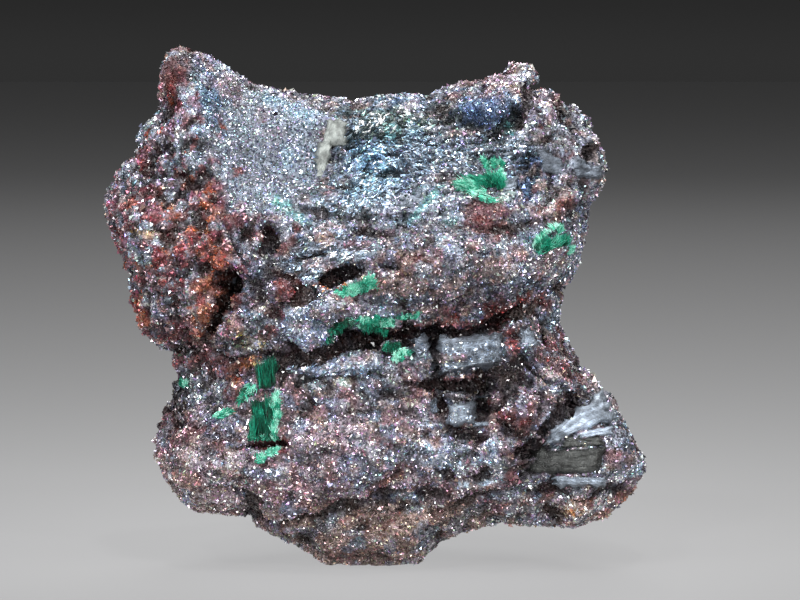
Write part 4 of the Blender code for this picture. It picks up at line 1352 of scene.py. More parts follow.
ROUGH = (
    Swell(-6, 16.5, 10, 6.5, 0, 0.5),
    Swell(10, 10.5, 7, 5, 0, 0.4),
    Swell(14, 31, 5, 6, 0, 0.4),
)
DETAILS = (
    Swell(-14.4, 19, 1.5, 1.9, 0, 0.5),
    Swell(-2, 16.7, 2.2, 0.8, -12, -1.5),
    Swell(-4.1, 21.3, 1.5, 0.7, -12, -0.9),
    Swell(-5.9, 18.6, 2.8, 1.3, 0, 0.7),
    Swell(-8.1, 20.5, 1.4, 0.9, 0, 0.9),
    Swell(-11, 18.2, 2.2, 1, -35, 0.7),
    Swell(-14.2, 17.2, 1, 0.9, 0, 0.5),
    Swell(-6.2, 15.1, 1.9, 0.40, 0, -0.5),
    Swell(-6.2, 17.2, 2.4, 0.9, 0, 2),
    Swell(-6, 14.4, 2, 0.45, 0, 0.5),
    Swell(-3.4, 22.9, 2.8, 0.5, -14, 0.5),
    Swell(7.2, 33.7, 2.2, 1.3, 0, 0.7),
    Swell(4, 33.7, 0.9, 1.2, -20, -0.9),
    Swell(9.7, 33.4, 0.6, 1.1, 25, -0.8),
    Swell(-0.2, 22.4, 1.1, 0.5, 20, -0.7),
    Swell(-9.4, 6.4, 1.8, 1.8, 0, 0.8),
    Swell(3.4, 28, 1.3, 1.2, 0, 0.7),
    Swell(14.8, 30.8, 0.9, 0.8, 15, -1.5),
    Swell(13.3, 33.4, 0.5, 1.5, -30, -1.2),
    Swell(12, 33.6, 0.7, 0.7, 0, 0.5),
    Swell(14.4, 33, 0.9, 0.7, 0, 0.5),
    Swell(5, 13.2, 2.4, 0.3, 0, -0.6),
    Swell(7, 12, 0.8, 1, 0, -1.6),
    Swell(3.7, 12, 0.7, 1.1, 0, -1.1),
    Swell(9.2, 12.6, 0.4, 1, 0, -0.6),
    Swell(10.6, 12.9, 0.4, 1.2, 10, -0.7),
    Swell(10.1, 8.3, 1, 0.5, -10, -1.2),
    Swell(10.4, 17.5, 0.8, 0.5, 0, -0.8),
    Swell(10, 18.7, 1.1, 0.5, -20, -0.9),
    Swell(4, 8.3, 1.5, 1.8, 0, 0.6),
    Swell(7.6, 8.3, 1.5, 1.4, 0, 0.6),
    Swell(5.9, 6.6, 1.6, 0.6, 0, 0.4),
    Swell(-0.6, 5.9, 1.6, 0.25, -28, -0.4),
    Swell(5.4, 7.1, 1, 0.8, 0, 1),
    Swell(6.4, 7.3, 0.8, 0.8, 0, 0.7),
    Swell(5.6, 8.4, 1, 1.2, 0, 0.5),
    Swell(14, 4.8, 3, 1, 0, 0.8),
    Swell(-9.2, 8.8, 1.6, 0.6, 0, -0.9),
    Swell(-6.3, 12, 0.8, 1.4, 20, -0.7),
    Swell(-13, 12.2, 2, 0.5, 0, -0.3),
    Swell(7.4, 25.2, 1.7, 0.7, 8, -0.8),
    Swell(12.2, 27.2, 1.8, 0.6, -40, -0.6),
    Swell(-8.6, 23.9, 0.35, 0.9, 0, -0.8),
    Swell(-10.9, 24.4, 0.4, 0.8, 20, -0.7),
    Swell(-1.6, 24.9, 2.2, 0.3, 8, -0.5),
    Swell(13.5, 8.2, 4, 1.6, 0, -0.5),
)
CRACKS = (
    Cleft(0.30, 0.9, ((11.2, 10), (13.2, 10.9), (15.4, 11.4))),
    Cleft(0.40, 0.7, ((-12, 8.4), (-9.5, 8.8), (-7.5, 8.6))),
    Cleft(0.25, 0.8, ((-7.3, 22.8), (-6, 22.9), (-4.6, 23.3))),
    Cleft(0.22, 0.9, ((-3.2, 22), (-3, 23.3))),
    Cleft(0.25, 0.4, ((-7, 13.4), (-4.8, 13.9), (-2, 13.6))),
    Cleft(0.35, 0.8, ((11.9, 17.8), (12.2, 16.2), (13.6, 15.4))),
    Cleft(0.35, 0.7, ((0.9, 13.3), (3, 13), (4, 12.7))),
    Cleft(0.35, 0.8, ((9.8, 15.2), (11.6, 13.6), (13.4, 13), (14.6, 11.8))),
    Cleft(0.35, 0.6, ((-13.6, 16), (-12, 15.2), (-10.2, 15.4))),
    Cleft(0.30, 0.6, ((-17, 20.8), (-15.4, 21.6), (-14, 23.4))),
    Cleft(0.35, 0.6, ((-12.4, 25.4), (-11.2, 23), (-10.4, 21.8))),
    Cleft(0.30, 0.5, ((9.4, 6), (10.4, 6.6), (11.6, 7))),
    Cleft(0.25, 0.3, ((-4, 3.4), (-1, 3.8), (2.4, 4.4))),
)


def billows(points: Array, size: float | Triple, seed: int) -> Array:
    """Round hills with sharp valleys: 2.2 |n| held below 1, less 0.45, of smooth noise n."""
    return np.minimum(2.2 * np.abs(lumps(points, size, seed)), 1.0) - 0.45


@dataclass
class LepidocrociteMass:
    """The whole mass with its fine relief.

    Attributes:
        steps: Squares along a side of the sphere's grids.
        front_lean: How far the grid's points are drawn to the front, where the relief is finest.
        inset: How far the mass keeps inside its solid, for the relief and the crystals on it, in mm.
        margin: Room for the crystals between the mass and its edges, in mm.
        station: Distance between the places where an edge is fitted, in mm.
        fade: How far past an edge's ends the fit fades out, in mm.
        pull: How deep the fit reaches into the mass, in mm.
        sunk_rounds: How wide the surface is that a point's depth is judged against.
        form: The smooth mass and its coarse relief.
        painting: Its looks.
    """

    steps: int = 126
    front_lean: float = 0.36
    inset: float = 0.28
    margin: float = 0.12
    station: float = 0.3
    fade: float = 0.8
    pull: float = 4.0
    sunk_rounds: int = 30
    form: CrustForm = field(default_factory=CrustForm)
    painting: Painting = field(default_factory=Painting)
    points: Array = field(init=False)
    quads: Array = field(init=False)
    normals: Array = field(init=False)
    sunk: Array = field(init=False)
    looks: Array = field(init=False)

    def fine_relief(self, points: Array) -> Array:
        """What the solid is too coarse for: hills and valleys, small knobs, sheets, bands, hollows and cracks.

        Args:
            points: Points with the solid's relief, in mm.

        Returns:
            The move of each point along its normal, in mm.
        """
        points = EYE.plan(points)
        x, y, z = points.T
        front = front_share(points)
        basin = mound(BASIN, points)
        saddle = mound(CALM_SADDLE, points)
        calm = np.clip(saddle + mound(SLAB, points) + mound(VEIN_FACE, points), 0.0, 0.95)
        rough = (1.0 - calm) * (0.5 + sum(shape.height * mound(shape, points) for shape in ROUGH))
        lobe = eased((-10.5 - x) / 2.0) * eased((z - 15.0) / 2.0)
        lobe = np.clip(lobe + eased((x - 10.0) / 2.0) * eased((z - 31.0) / 1.5), 0.0, 1.0)
        height = -self.inset + 0.50 * rough * (1.0 - 0.4 * lobe) * billows(points, (2.2, 1.6, 1.5), 71)
        hills = 0.36 * rough * billows(points, 1.1, 72)
        height += hills + 0.16 * (0.3 + 0.7 * rough) * billows(points, 0.6, 73)
        height += 0.55 * (knobs(points, 0.8, 81) - 0.45) * lobe * (1.0 - calm)
        drift = z - 0.10 * x + 0.35 * lumps(points, 2.4, 91) + 0.15 * lumps(points, 0.9, 92)
        sheets = drift / 0.62 + 1.8 * lumps(points, (3.5, 2.0, 1.2), 93)
        step = sheets - np.floor(sheets)
        height += 0.36 * basin * (eased(step / 0.75) * eased((1.0 - step) / 0.15) - 0.5)
        brow = front * eased((z - 18.0) / 1.0) * eased((28.0 - z) / 1.5) * eased((x + 8.0) / 2.0)
        bands = drift / 1.25 + 0.5 * lumps(points, (5.0, 3.0, 2.0), 94)
        height += 0.15 * brow * (np.minimum(2.5 * np.abs(np.sin(math.pi * bands)), 1.0) - 0.7)
        belly = front * eased((13.0 - z) / 1.5) * eased((12.0 - x) / 2.0)
        height += 0.10 * belly * np.sin(2.0 * math.pi * (z + 0.05 * x + 0.9 * lumps(points, 3.0, 95)) / 1.6)
        for feature in (*DETAILS, *CRACKS):
            height += front * feature.rise(x, z)
        return height

    def fit(self, points: Array, edge: Route, axis: int, sign: float, window: int) -> Array:
        """Moves one side of the mass so that its outermost points stand on an edge of the plan.

        The move is edge - reach for the outermost points and none the pull further in, and the reach is
        smoothed so that the lumps of the outline stay.

        Args:
            points: The mass.
            edge: Points (x, z) of the edge.
            axis: 0 for a side edge, 1 for the top or the foot.
            sign: 1 where the edge is on the high side, -1 on the low side.
            window: How many stations the reach is smoothed over, an odd number.

        Returns:
            The mass with this side moved.
        """
        seen = EYE.seen(points)
        along, out = seen[:, 1 - axis], sign * seen[:, axis]
        table = np.array(sorted(edge, key=lambda place: place[1 - axis]))
        stations = np.arange(table[0, 1 - axis], table[-1, 1 - axis], self.station)
        cell = np.round((along - stations[0]) / self.station).astype(int)
        inside = np.flatnonzero((cell >= 0) & (cell < len(stations)))
        reach = np.full(len(stations), -np.inf)
        np.maximum.at(reach, cell[inside], out[inside])
        wide = np.convolve(np.pad(reach, window // 2, mode="edge"), np.ones(window) / window, mode="valid")
        limit = sign * np.interp(stations, table[:, 1 - axis], table[:, axis])
        short = np.interp(along, stations, limit - self.margin - wide)
        ends = eased((along - stations[0] + self.fade) / self.fade)
        ends = ends * eased((stations[-1] + self.fade - along) / self.fade)
        near = eased((out - np.interp(along, stations, wide) + self.pull) / self.pull)
        points = points.copy()
        points[:, 2 * axis] += sign * short * near * ends
        return points

    def build(self) -> bpy.types.Object:
        """Works out the surface: a sphere to the smooth mass, out by the relief, then by the fine relief.

        Returns:
            The mass, with a flat under it at z = 0.
        """
        sphere, self.quads, places = sphere_grid(self.steps)
        directions = unit(sphere - (0.0, self.front_lean, 0.0))
        points, side = self.form.base(directions)
        points += point_normals(points, self.quads) * self.form.relief(points, side)[:, None]
        points += point_normals(points, self.quads) * self.fine_relief(points)[:, None]
        edges = ((RIGHT_EDGE, 0, 1.0), (LEFT_EDGE, 0, -1.0), (TOP_EDGE, 1, 1.0), (LOW_EDGE, 1, -1.0))
        for window, (edge, axis, sign) in itertools.product((7, 3), edges):
            points = self.fit(points, edge, axis, sign, window)
        points[:, 2] = np.maximum(points[:, 2], FOOT[2])
        self.points = points
        self.normals = point_normals(points, self.quads)
        self.sunk = sunk_below(points, self.quads, self.normals, self.sunk_rounds)
        self.looks = self.painting.at(points, self.sunk)
        plan = EYE.plan(points)
        fibre = np.clip(mound(SLAB, plan) + mound(VEIN_FACE, plan) + 0.6 * mound(BASIN, plan), 0.0, 1.0)
        colours = {"tint": self.looks[:, [0, 1, 2, BARE]], "metal": self.looks[:, METAL], "fibre": fibre}
        piece = make_mesh("lepidocrocite", points, self.quads, colours, CrustFinish().material(), True)
        lay_flat(piece, places)
        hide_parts(MASS_NODE)
        return piece

    def scatter(self, rng: np.random.Generator, count: int, weight: Array) -> tuple[Array, Array, Array]:
        """Picks places on the mass.

        Args:
            rng: The source of chance.
            count: How many places.
            weight: How many there are on each mm2 of each face, against the others.

        Returns:
            The places in mm, the outward normal at each, and how far each is sunk.
        """
        a, b, c, d = (self.points[self.quads[:, k]] for k in range(4))
        chance = weight * np.linalg.norm(np.cross(c - a, d - b), axis=1)
        chance[(a[:, 2] + c[:, 2]) * 0.5 < FOOT[2] + 0.12] = 0.0
        chosen = rng.choice(len(chance), count, p=chance / chance.sum())
        s, t = rng.uniform(0.0, 1.0, (2, count, 1))
        shares = ((1 - s) * (1 - t), s * (1 - t), s * t, (1 - s) * t)
        corners = self.quads[chosen]
        values = np.column_stack([self.points, self.normals, self.sunk])
        found = sum(share * values[corners[:, k]] for k, share in enumerate(shares))
        return found[:, :3], unit(found[:, 3:6]), found[:, 6]


# ---- Crystals ------------------------------------------------------------------------------------
def crystal_material() -> bpy.types.Material:
    """The crystals' one material, made once."""
    return bpy.data.materials.get("crystals") or CrystalFinish().material()


def join_solids(
    name: str, corners: Array, shape: Array, looks: Array, rough: Array, material: bpy.types.Material
) -> bpy.types.Object:
    """Joins many small solids of one shape into a piece.

    Args:
        name: The piece's name.
        corners: The corners of each solid, in mm.
        shape: The triangles of one solid.
        looks: Red, green, blue and metal for each solid, or for each of its corners.
        rough: The roughness of each solid.
        material: Its finish.

    Returns:
        The piece.
    """
    count, each = corners.shape[:2]
    low = corners[:, :, 2].min(axis=1) - FOOT[2]
    corners[:, :, 2] -= np.minimum(low, 0.0)[:, None]
    faces = (shape[None] + each * np.arange(count)[:, None, None]).reshape(-1, 3)
    if looks.ndim == 2:
        looks = np.repeat(looks[:, None], each, axis=1)
    flat = looks.reshape(-1, 4)
    colours = {"tint": np.column_stack([flat[:, :3], np.repeat(rough, each)]), "metal": flat[:, 3]}
    piece = make_mesh(name, corners.reshape(-1, 3), faces, colours, material, False)
    lay_flat(piece, small_cells(len(faces)))
    return piece


SHARD_FACES = ((0, 2, 1), (0, 1, 3), (1, 2, 3), (2, 0, 3))


def shards(rng: np.random.Generator, places: Array, lean: Array, size: Array) -> Array:
    """Low three-sided pyramids: three corners about the root, and a tip over them.

    The axis is that of lean + a random way of length 1. A corner is size (0.7 to 1.3) from the root, at
    about 0, 115 and 235 degrees, and the tip is size (0.25 to 0.9) up the axis.

    Args:
        rng: The source of chance.
        places: The roots, in mm.
        lean: The outward way at each; the longer it is, the flatter the pyramids lie.
        size: The size of each in mm.

    Returns:
        The four corners of each.
    """
    count = len(places)
    flat = unit(lean + unit(rng.normal(size=(count, 3))))
    long = unit(np.cross(flat, rng.normal(size=(count, 3))))
    wide = np.cross(flat, long)
    turns = np.array([0.0, 2.0, 4.1]) + rng.uniform(-0.3, 0.3, (count, 3))
    reach = size[:, None] * rng.uniform(0.7, 1.3, (count, 3))
    along, across = (reach * np.cos(turns))[..., None], (reach * np.sin(turns))[..., None]
    around = along * long[:, None] + across * wide[:, None]
    tip = flat * (size * rng.uniform(0.25, 0.9, count))[:, None]
    slip = long * rng.uniform(-1, 1, (count, 1)) + wide * rng.uniform(-1, 1, (count, 1))
    tip += 0.3 * size[:, None] * slip
    middle = places + unit(lean) * (0.1 * size)[:, None]
    return middle[:, None] + np.concatenate([around, tip[:, None]], axis=1)


@dataclass
class Druse:
    """Small three-sided crystals that stand at all angles on the mass, joined into a few pieces."""

    mass: LepidocrociteMass
    pieces: int = 4
    per_piece: int = 40000
    radius: float = 0.11
    seed: int = 7

    def build_piece(self, number: int) -> bpy.types.Object:
        """One joined piece. A crystal is a low pyramid: three corners about its root, and a tip over them.

        Args:
            number: Which of the pieces.

        Returns:
            The piece.
        """
        rng = np.random.default_rng(self.seed + number)
        count = self.per_piece
        mass = self.mass
        bare, grain = (mass.looks[mass.quads, column].mean(axis=1) for column in (BARE, GRAIN))
        front = front_share(mass.points[mass.quads[:, 0]])
        weight = (1.0 - 0.9 * bare) / grain**1.6 * (0.45 + 0.55 * front)
        places, normals, sunk = mass.scatter(rng, count, weight)
        looks = mass.painting.at(places, sunk, rng.uniform(size=count))
        size = self.radius * looks[:, GRAIN] * rng.lognormal(0.0, 0.30, count)
        size *= 1.3 - 0.3 * front_share(places)
        corners = shards(rng, places, normals * rng.uniform(0.3, 1.4, (count, 1)), size)
        bright = looks[:, GLEAM] * rng.lognormal(-0.10, 0.60, count)
        shift = 1.0 + 0.13 * rng.normal(size=(count, 3))
        tint = np.clip(looks[:, :METAL] * bright[:, None] * shift, 0.0, 0.95)
        bits = np.column_stack([tint, looks[:, METAL]])
        name, shape = f"druse_{number + 1}", np.array(SHARD_FACES)
        piece = join_solids(name, corners, shape, bits, rng.uniform(0.07, 0.26, count), crystal_material())
        return piece

    def build(self) -> list[bpy.types.Object]:
        """All pieces of the druse."""
        return [self.build_piece(number) for number in range(self.pieces)]


FLAKE_FACES = ((0, 2, 4), (2, 1, 4), (1, 3, 4), (3, 0, 4), (2, 0, 5), (1, 2, 5), (3, 1, 5), (0, 3, 5))
FLAKY = (
    Swell(-0.4, 31, 4.6, 3.8, 0, 1),
    Swell(-2, 27.6, 4, 1.6, -15, 0.8),
    Swell(6.5, 30.6, 4.5, 1.8, 0, 0.35),
    Swell(-5.2, 22.8, 5, 1.6, -14, 0.6),
    Swell(-5.4, 14.9, 3.8, 1, 5, 0.6),
)


@dataclass
class Flakes:
    """Narrow flakes that lie along the sheets of the basin and the ridges under it."""

    mass: LepidocrociteMass
    count: int = 3600
    half_length: float = 0.19
    half_width: float = 0.075
    half_thickness: float = 0.03
    seed: int = 31

    def build(self) -> bpy.types.Object:
        """One joined piece. A flake is a flat double pyramid, +-a, +-b and +-c about its middle.

        Returns:
            The piece.
        """
        rng = np.random.default_rng(self.seed)
        mass = self.mass
        middle = EYE.plan(mass.points[mass.quads].mean(axis=1))
        weight = sum(shape.height * mound(shape, middle) for shape in FLAKY)
        weight *= 1.0 - mound(PATCH_PLACE, middle)
        places, normals, sunk = mass.scatter(rng, self.count, weight)
        looks = mass.painting.at(places, sunk, rng.uniform(size=self.count))
        x = places[:, 0]
        slope = 0.75 * eased((1.5 - x) / 4.0) + 0.8 * lumps(places, 2.5, 33)
        slope = slope + 0.5 * rng.normal(size=self.count)
        way = np.column_stack([np.ones(self.count), np.zeros(self.count), slope])
        flat = unit(normals + 0.55 * rng.normal(size=(self.count, 3)))
        long = unit(way - flat * (way * flat).sum(axis=1, keepdims=True))
        wide = np.cross(flat, long)
        size = rng.lognormal(0.0, 0.4, (self.count, 1))
        a = long * self.half_length * size
        b = wide * self.half_width * size**0.6
        c = flat * self.half_thickness
        centre = places + normals * 0.05
        corners = np.stack([a, -a, b, -b, c, -c], axis=1) + centre[:, None]
        bright = looks[:, GLEAM] * rng.lognormal(-0.1, 0.5, self.count)
        tint = np.clip(looks[:, :METAL] * bright[:, None] * (0.90, 1.04, 1.12), 0.0, 0.95)
        bits = np.column_stack([tint, looks[:, METAL]])
        rough = rng.uniform(0.12, 0.3, self.count)
        piece = join_solids("basin_flakes", corners, np.array(FLAKE_FACES), bits, rough, crystal_material())
        return piece


# ---- Bare faces ----------------------------------------------------------------------------------
@dataclass
class FrontDepth:
    """How far forward the crust stands behind each place of the show face, on a grid."""

    points: Array
    quads: Array
    cell: float = 0.25
    half: float = 24.0
    reach: float = 45.0
    foot: float = 2.0

    def __post_init__(self) -> None:
        """Keeps the foremost y of the surface in each cell, and fills empty cells from their neighbours."""
        across, up = int(2 * self.half / self.cell), int(self.reach / self.cell)
        self.nearest = np.full((across, up), np.inf)
        a, b, c, d = (self.points[self.quads[:, k]] for k in range(4))
        for s, t in itertools.product(np.linspace(0.0, 0.8, 5), repeat=2):
            spots = (1 - s) * (1 - t) * a + s * (1 - t) * b + s * t * c + (1 - s) * t * d
            np.minimum.at(self.nearest, self.cells(EYE.seen(spots)), spots[:, 1])
        for _ in range(4):
            spread = np.stack([np.roll(self.nearest, move, axis) for axis in (0, 1) for move in (-1, 1)])
            self.nearest = np.where(np.isinf(self.nearest), spread.min(axis=0), self.nearest)

    def cells(self, places: Array) -> tuple[Array, Array]:
        """The cell of each place (x, z) as seen."""
        column = ((places[:, 0] + self.half) / self.cell).astype(int)
        row = ((places[:, 1] + self.foot) / self.cell).astype(int)
        across, up = self.nearest.shape
        return np.clip(column, 0, across - 1), np.clip(row, 0, up - 1)

    def seat(self, corners: Array, share: float) -> Array:
        """The y of a plane over a four-sided place of the show face, at its corners.

        The plane has the crust's slopes there, and lies in front of this share of the crust.
        """
        u, v = (grid.ravel() for grid in np.meshgrid(np.linspace(0.1, 0.9, 12), np.linspace(0.1, 0.9, 12)))
        x, z = (np.stack([(1 - u) * (1 - v), u * (1 - v), u * v, (1 - u) * v], axis=1) @ corners).T
        y = self.on(x, z)
        columns = np.column_stack([x, z, np.ones(len(x))])
        slopes = np.clip(np.linalg.lstsq(columns, y, rcond=None)[0], -0.3, 0.3)
        rest = y - columns[:, :2] @ slopes[:2]
        return corners @ slopes[:2] + np.quantile(rest, 1.0 - share)

    def on(self, x: Array, z: Array) -> Array:
        """The y of the crust that is seen at (x, z)."""
        return self.nearest[self.cells(np.column_stack([x, z]))]


@dataclass(frozen=True)
class Plate:
    """A broken face of fibrous mineral that stands out of the crust.

    Attributes:
        corners: Its corners (x, z) in mm: lower left, lower right, upper right and upper left.
        tint: Its colour.
        tone: Brightness against the tint.
        stand: How far its face stands in front of the crust, in mm.
        thick: Its thickness in mm.
        bulge: How far its middle stands out, in mm.
        layers: Number of layers across it.
        step: Height of a layer in mm.
        ragged: Unevenness of its edges in mm.
    """

    corners: Route
    tint: Tint
    tone: float = 1.0
    stand: float = 0.3
    thick: float = 1.0
    bulge: float = 0.15
    layers: float = 0.0
    step: float = 0.0
    ragged: float = 0.12


SLABS = (
    Plate(((1.9, 15.2), (3, 14.9), (3, 16.95), (1.6, 16.9)), STEEL, 1.7, 0.05, 1.3, 0.15, 3, 0.10, 0.35),
    Plate(((3.6, 13.9), (8.6, 14.9), (8.6, 17.2), (3.65, 16.9)), SILVER, 1.18, 0.15, 1.6, 0.3, 4, 0.12, 0.2),
    Plate(((9.7, 15.8), (11.1, 16.1), (10.9, 17.4), (9.7, 17.5)), SILVER, 1.1, 0.05, 1.2, 0.15, 2, 0.10, 0.3),
    Plate(((4.2, 10.2), (6.4, 10.3), (6.3, 12), (4.4, 11.9)), SILVER, 1.4, 0.55, 2, 0.3, 2, 0.10, 0.2),
    Plate(((6, 10.1), (7.5, 10.2), (7.5, 10.6), (6.2, 10.5)), SILVER, 1.2, 0.2, 1, 0.1),
    Plate(((2.85, 11), (3.75, 11.1), (3.6, 12.3), (3, 12.4)), STEEL, 1.6, 0.1, 1.2, 0.1, 2, 0.1, 0.3),
    Plate(((-4.7, 22.4), (-3.2, 22.6), (-3.2, 23.2), (-4.7, 22.9)), SILVER, 0.8, 0, 0.9, 0.1, 2, 0.1, 0.2),
    Plate(((-2.9, 22.4), (-1, 22.8), (-1, 23.4), (-2.9, 23.2)), SILVER, 1.2, 0, 0.9, 0.1, 2, 0.1, 0.2),
)
VEIN_CORE = (
    Plate(((9.8, 6.6), (15.9, 6.4), (16.2, 8.7), (10.5, 8.5)), VEIN, 0.46, 0.2, 1.2, 0.1, 3, 0.05, 0.2),
    Plate(((12.5, 8.4), (16.4, 8.7), (16.2, 9.4), (12.9, 9.5)), VEIN, 0.62, 0.05, 1.2, 0.1, 2, 0.05, 0.2),
)
VEIN_BANDS = (
    Plate(((11.6, 8.6), (16.9, 10.7), (15.9, 12.9), (11.6, 9.5)), SILVER, 1.4, 0.6, 1.7, 0.2, 4, 0.14, 0.25),
    Plate(((13.9, 9.15), (16.8, 9.6), (16.8, 10.2), (14, 9.75)), SILVER, 1.4, 0.2, 1.3, 0.15, 2, 0.10, 0.2),
    Plate(((15.2, 10.3), (16.7, 10.4), (16.6, 11.1), (15.3, 10.8)), SILVER, 1.1, 0.1, 1.3, 0.1, 2, 0.10, 0.3),
    Plate(((12.3, 5.75), (16.2, 5.7), (16.4, 6.4), (12.2, 6.5)), SILVER, 1.3, 0.30, 1, 0.1, 3, 0.10, 0.2),
)
GREY_BAND = (
    Plate(((10.9, 28.9), (13.2, 28.8), (13.4, 30.4), (10.7, 31.4)), STEEL, 0.56, -0.1, 1, 0.2, 2, 0.06, 0.35),
    Plate(((13.1, 28.8), (16, 28.6), (16.2, 29.7), (13.2, 30.3)), STEEL, 1, 0, 1, 0.2, 2, 0.06, 0.2),
    Plate(((8.2, 27.7), (9.7, 27.8), (9.6, 29), (8.3, 28.5)), SILVER, 0.9, 0.1, 0.8, 0.1, 3, 0.08, 0.2),
)
SMOOTH_PATCH = (
    Plate(((-5.7, 28.2), (-5, 28.3), (-4.2, 31.5), (-5.4, 31.6)), BEIGE, 0.8, 0.05, 0.9, 0.1, 0, 0, 0.3),
    Plate(((-5.4, 31), (-3.2, 30.9), (-3, 33.3), (-4.8, 33.5)), BEIGE, 0.8, 0.12, 0.9, 0.2, 0, 0, 0.35),
)


@dataclass
class BareFaces:
    """The bare plates of one kind, joined."""

    name: str
    plates: tuple[Plate, ...]
    finish: PlateFinish
    steps: tuple[int, int] = (50, 28)

    def plate(self, plate: Plate, depth: FrontDepth) -> tuple[Array, Array, Array]:
        """One plate.

        Its parameters u and v run from -1 to 1, and s = sin(u pi/2) and t = sin(v pi/2). A point lies at s
        and t between the corners, in front of the plane through them by the stand and the bulge, and its
        edges turn back by thick (1 - (1 - s^8) (1 - t^8)). A point at the back closes it.

        Args:
            plate: Its sizes.
            depth: Where the crust lies.

        Returns:
            Its points, its triangles and its colours.
        """
        across, up = self.steps
        u, v = np.meshgrid(np.linspace(-1, 1, across + 1), np.linspace(-1, 1, up + 1), indexing="ij")
        s, t = np.sin(u * math.pi / 2).ravel(), np.sin(v * math.pi / 2).ravel()
        low, high = ((1 - s) * (1 - t), (1 + s) * (1 - t)), ((1 + s) * (1 + t), (1 - s) * (1 + t))
        shares = np.stack([*low, *high], axis=1) / 4
        corners = np.array(plate.corners)
        x, z = (shares @ corners).T
        rim = np.maximum(np.abs(s), np.abs(t)) ** 6
        spots = np.column_stack([x, np.zeros(len(x)), z])
        x = x + plate.ragged * rim * (lumps(spots, 0.5, 201) + lumps(spots, 0.22, 202))
        z = z + plate.ragged * rim * (lumps(spots, 0.5, 203) + lumps(spots, 0.22, 204))
        edge = (1.0 - s**8) * (1.0 - t**8)
        y = shares @ depth.seat(corners, 0.7) - plate.stand - plate.bulge * (1 - s * s) * (1 - t * t)
        y += plate.thick * (1.0 - edge)
        level = plate.layers * 0.5 * (t + 1.0) + 0.35 * lumps(spots, 0.9, 205)
        layer = eased((level - np.floor(level)) / 0.8)
        y += edge * (plate.step * layer + 0.10 * lumps(spots, 0.8, 206) + 0.06 * lumps(spots, 0.3, 207))
        x, z, y = np.append(x, x.mean()), np.append(z, z.mean()), np.append(y, y.mean() + plate.thick)
        points = EYE.stand(x, z, y)
        index = np.arange((across + 1) * (up + 1)).reshape(across + 1, up + 1)
        corner = (index[:-1, :-1], index[1:, :-1], index[1:, 1:], index[:-1, 1:])
        a, b, c, d = (numbers.ravel() for numbers in corner)
        rim_loop = np.concatenate([index[:-1, 0], index[-1, :-1], index[:0:-1, -1], index[0, :0:-1]])
        fan = np.column_stack([np.roll(rim_loop, -1), rim_loop, np.full(len(rim_loop), len(points) - 1)])
        faces = np.concatenate([np.column_stack([a, b, c]), np.column_stack([a, c, d]), fan])
        tone = plate.tone * (0.75 + 0.5 * layer if plate.step else np.ones(len(layer)))
        tone *= 1.0 + 0.45 * lumps(spots, 0.8, 208) + 0.45 * lumps(spots, 0.3, 209)
        # painted shade: each plate darkens towards its rim, where it turns back into the crust
        tone = np.append(tone * (0.35 + 0.65 * edge), 0.3)
        return points, faces, np.column_stack([np.outer(tone, plate.tint.value[:3]), np.ones(len(points))])

    def build(self, depth: FrontDepth) -> bpy.types.Object:
        """All its plates as one piece."""
        made = [self.plate(plate, depth) for plate in self.plates]
        starts = np.cumsum([0] + [len(points) for points, _, _ in made])
        faces = np.concatenate([faces + start for (_, faces, _), start in zip(made, starts)])
        points = np.concatenate([points for points, _, _ in made])
        tint = np.concatenate([tint for _, _, tint in made])
        piece = make_mesh(self.name, points, faces, {"tint": tint}, self.finish.material(), True)
        return piece


@dataclass
class Scales:
    """Small bright scales that lie on the plates of fibrous mineral."""

    per_mm2: float = 24.0
    radius: float = 0.085
    seed: int = 53

    def build(self, pieces: list[bpy.types.Object]) -> bpy.types.Object:
        """One joined piece, from the front faces of the plates.

        Args:
            pieces: The plates.

        Returns:
            The scales.
        """
        rng = np.random.default_rng(self.seed)
        found = []
        for piece in pieces:
            mesh = piece.data
            points = np.empty(len(mesh.vertices) * 3, dtype=np.float32)
            mesh.vertices.foreach_get("co", points)
            corners = np.empty(len(mesh.polygons) * 3, dtype=np.int32)
            mesh.polygons.foreach_get("vertices", corners)
            tints = np.empty(len(mesh.vertices) * 4, dtype=np.float32)
            mesh.attributes["tint"].data.foreach_get("color", tints)
            a, b, c = np.moveaxis(points.reshape(-1, 3)[corners.reshape(-1, 3)] / MM + FOOT, 1, 0)
            facing = np.cross(b - a, c - a)
            area = 0.5 * np.linalg.norm(facing, axis=1)
            area *= facing[:, 1] < -1.2 * area
            chosen = rng.choice(len(area), int(self.per_mm2 * area.sum()), p=area / area.sum())
            s, t = rng.uniform(0.0, 1.0, (2, len(chosen), 1))
            s, t = np.where(s + t > 1.0, 1.0 - s, s), np.where(s + t > 1.0, 1.0 - t, t)
            spots = a[chosen] + s * (b - a)[chosen] + t * (c - a)[chosen]
            tint = tints.reshape(-1, 4)[corners.reshape(-1, 3)[chosen, 0], :3]
            found.append((spots, unit(facing[chosen]), tint))
        spots, normals, tint = (np.concatenate(parts) for parts in zip(*found))
        count = len(spots)
        size = self.radius * rng.lognormal(0.0, 0.35, count)
        corners = shards(rng, spots, normals * rng.uniform(0.8, 2.6, (count, 1)), size)
        bright = rng.lognormal(0.1, 0.65, (count, 1))
        bits = np.column_stack([np.clip(tint * bright * (0.97, 1.0, 1.05), 0.0, 0.95), np.full(count, 0.9)])
        rough = rng.uniform(0.08, 0.28, count)
        piece = join_solids("plate_scales", corners, np.array(SHARD_FACES), bits, rough, crystal_material())
        return piece


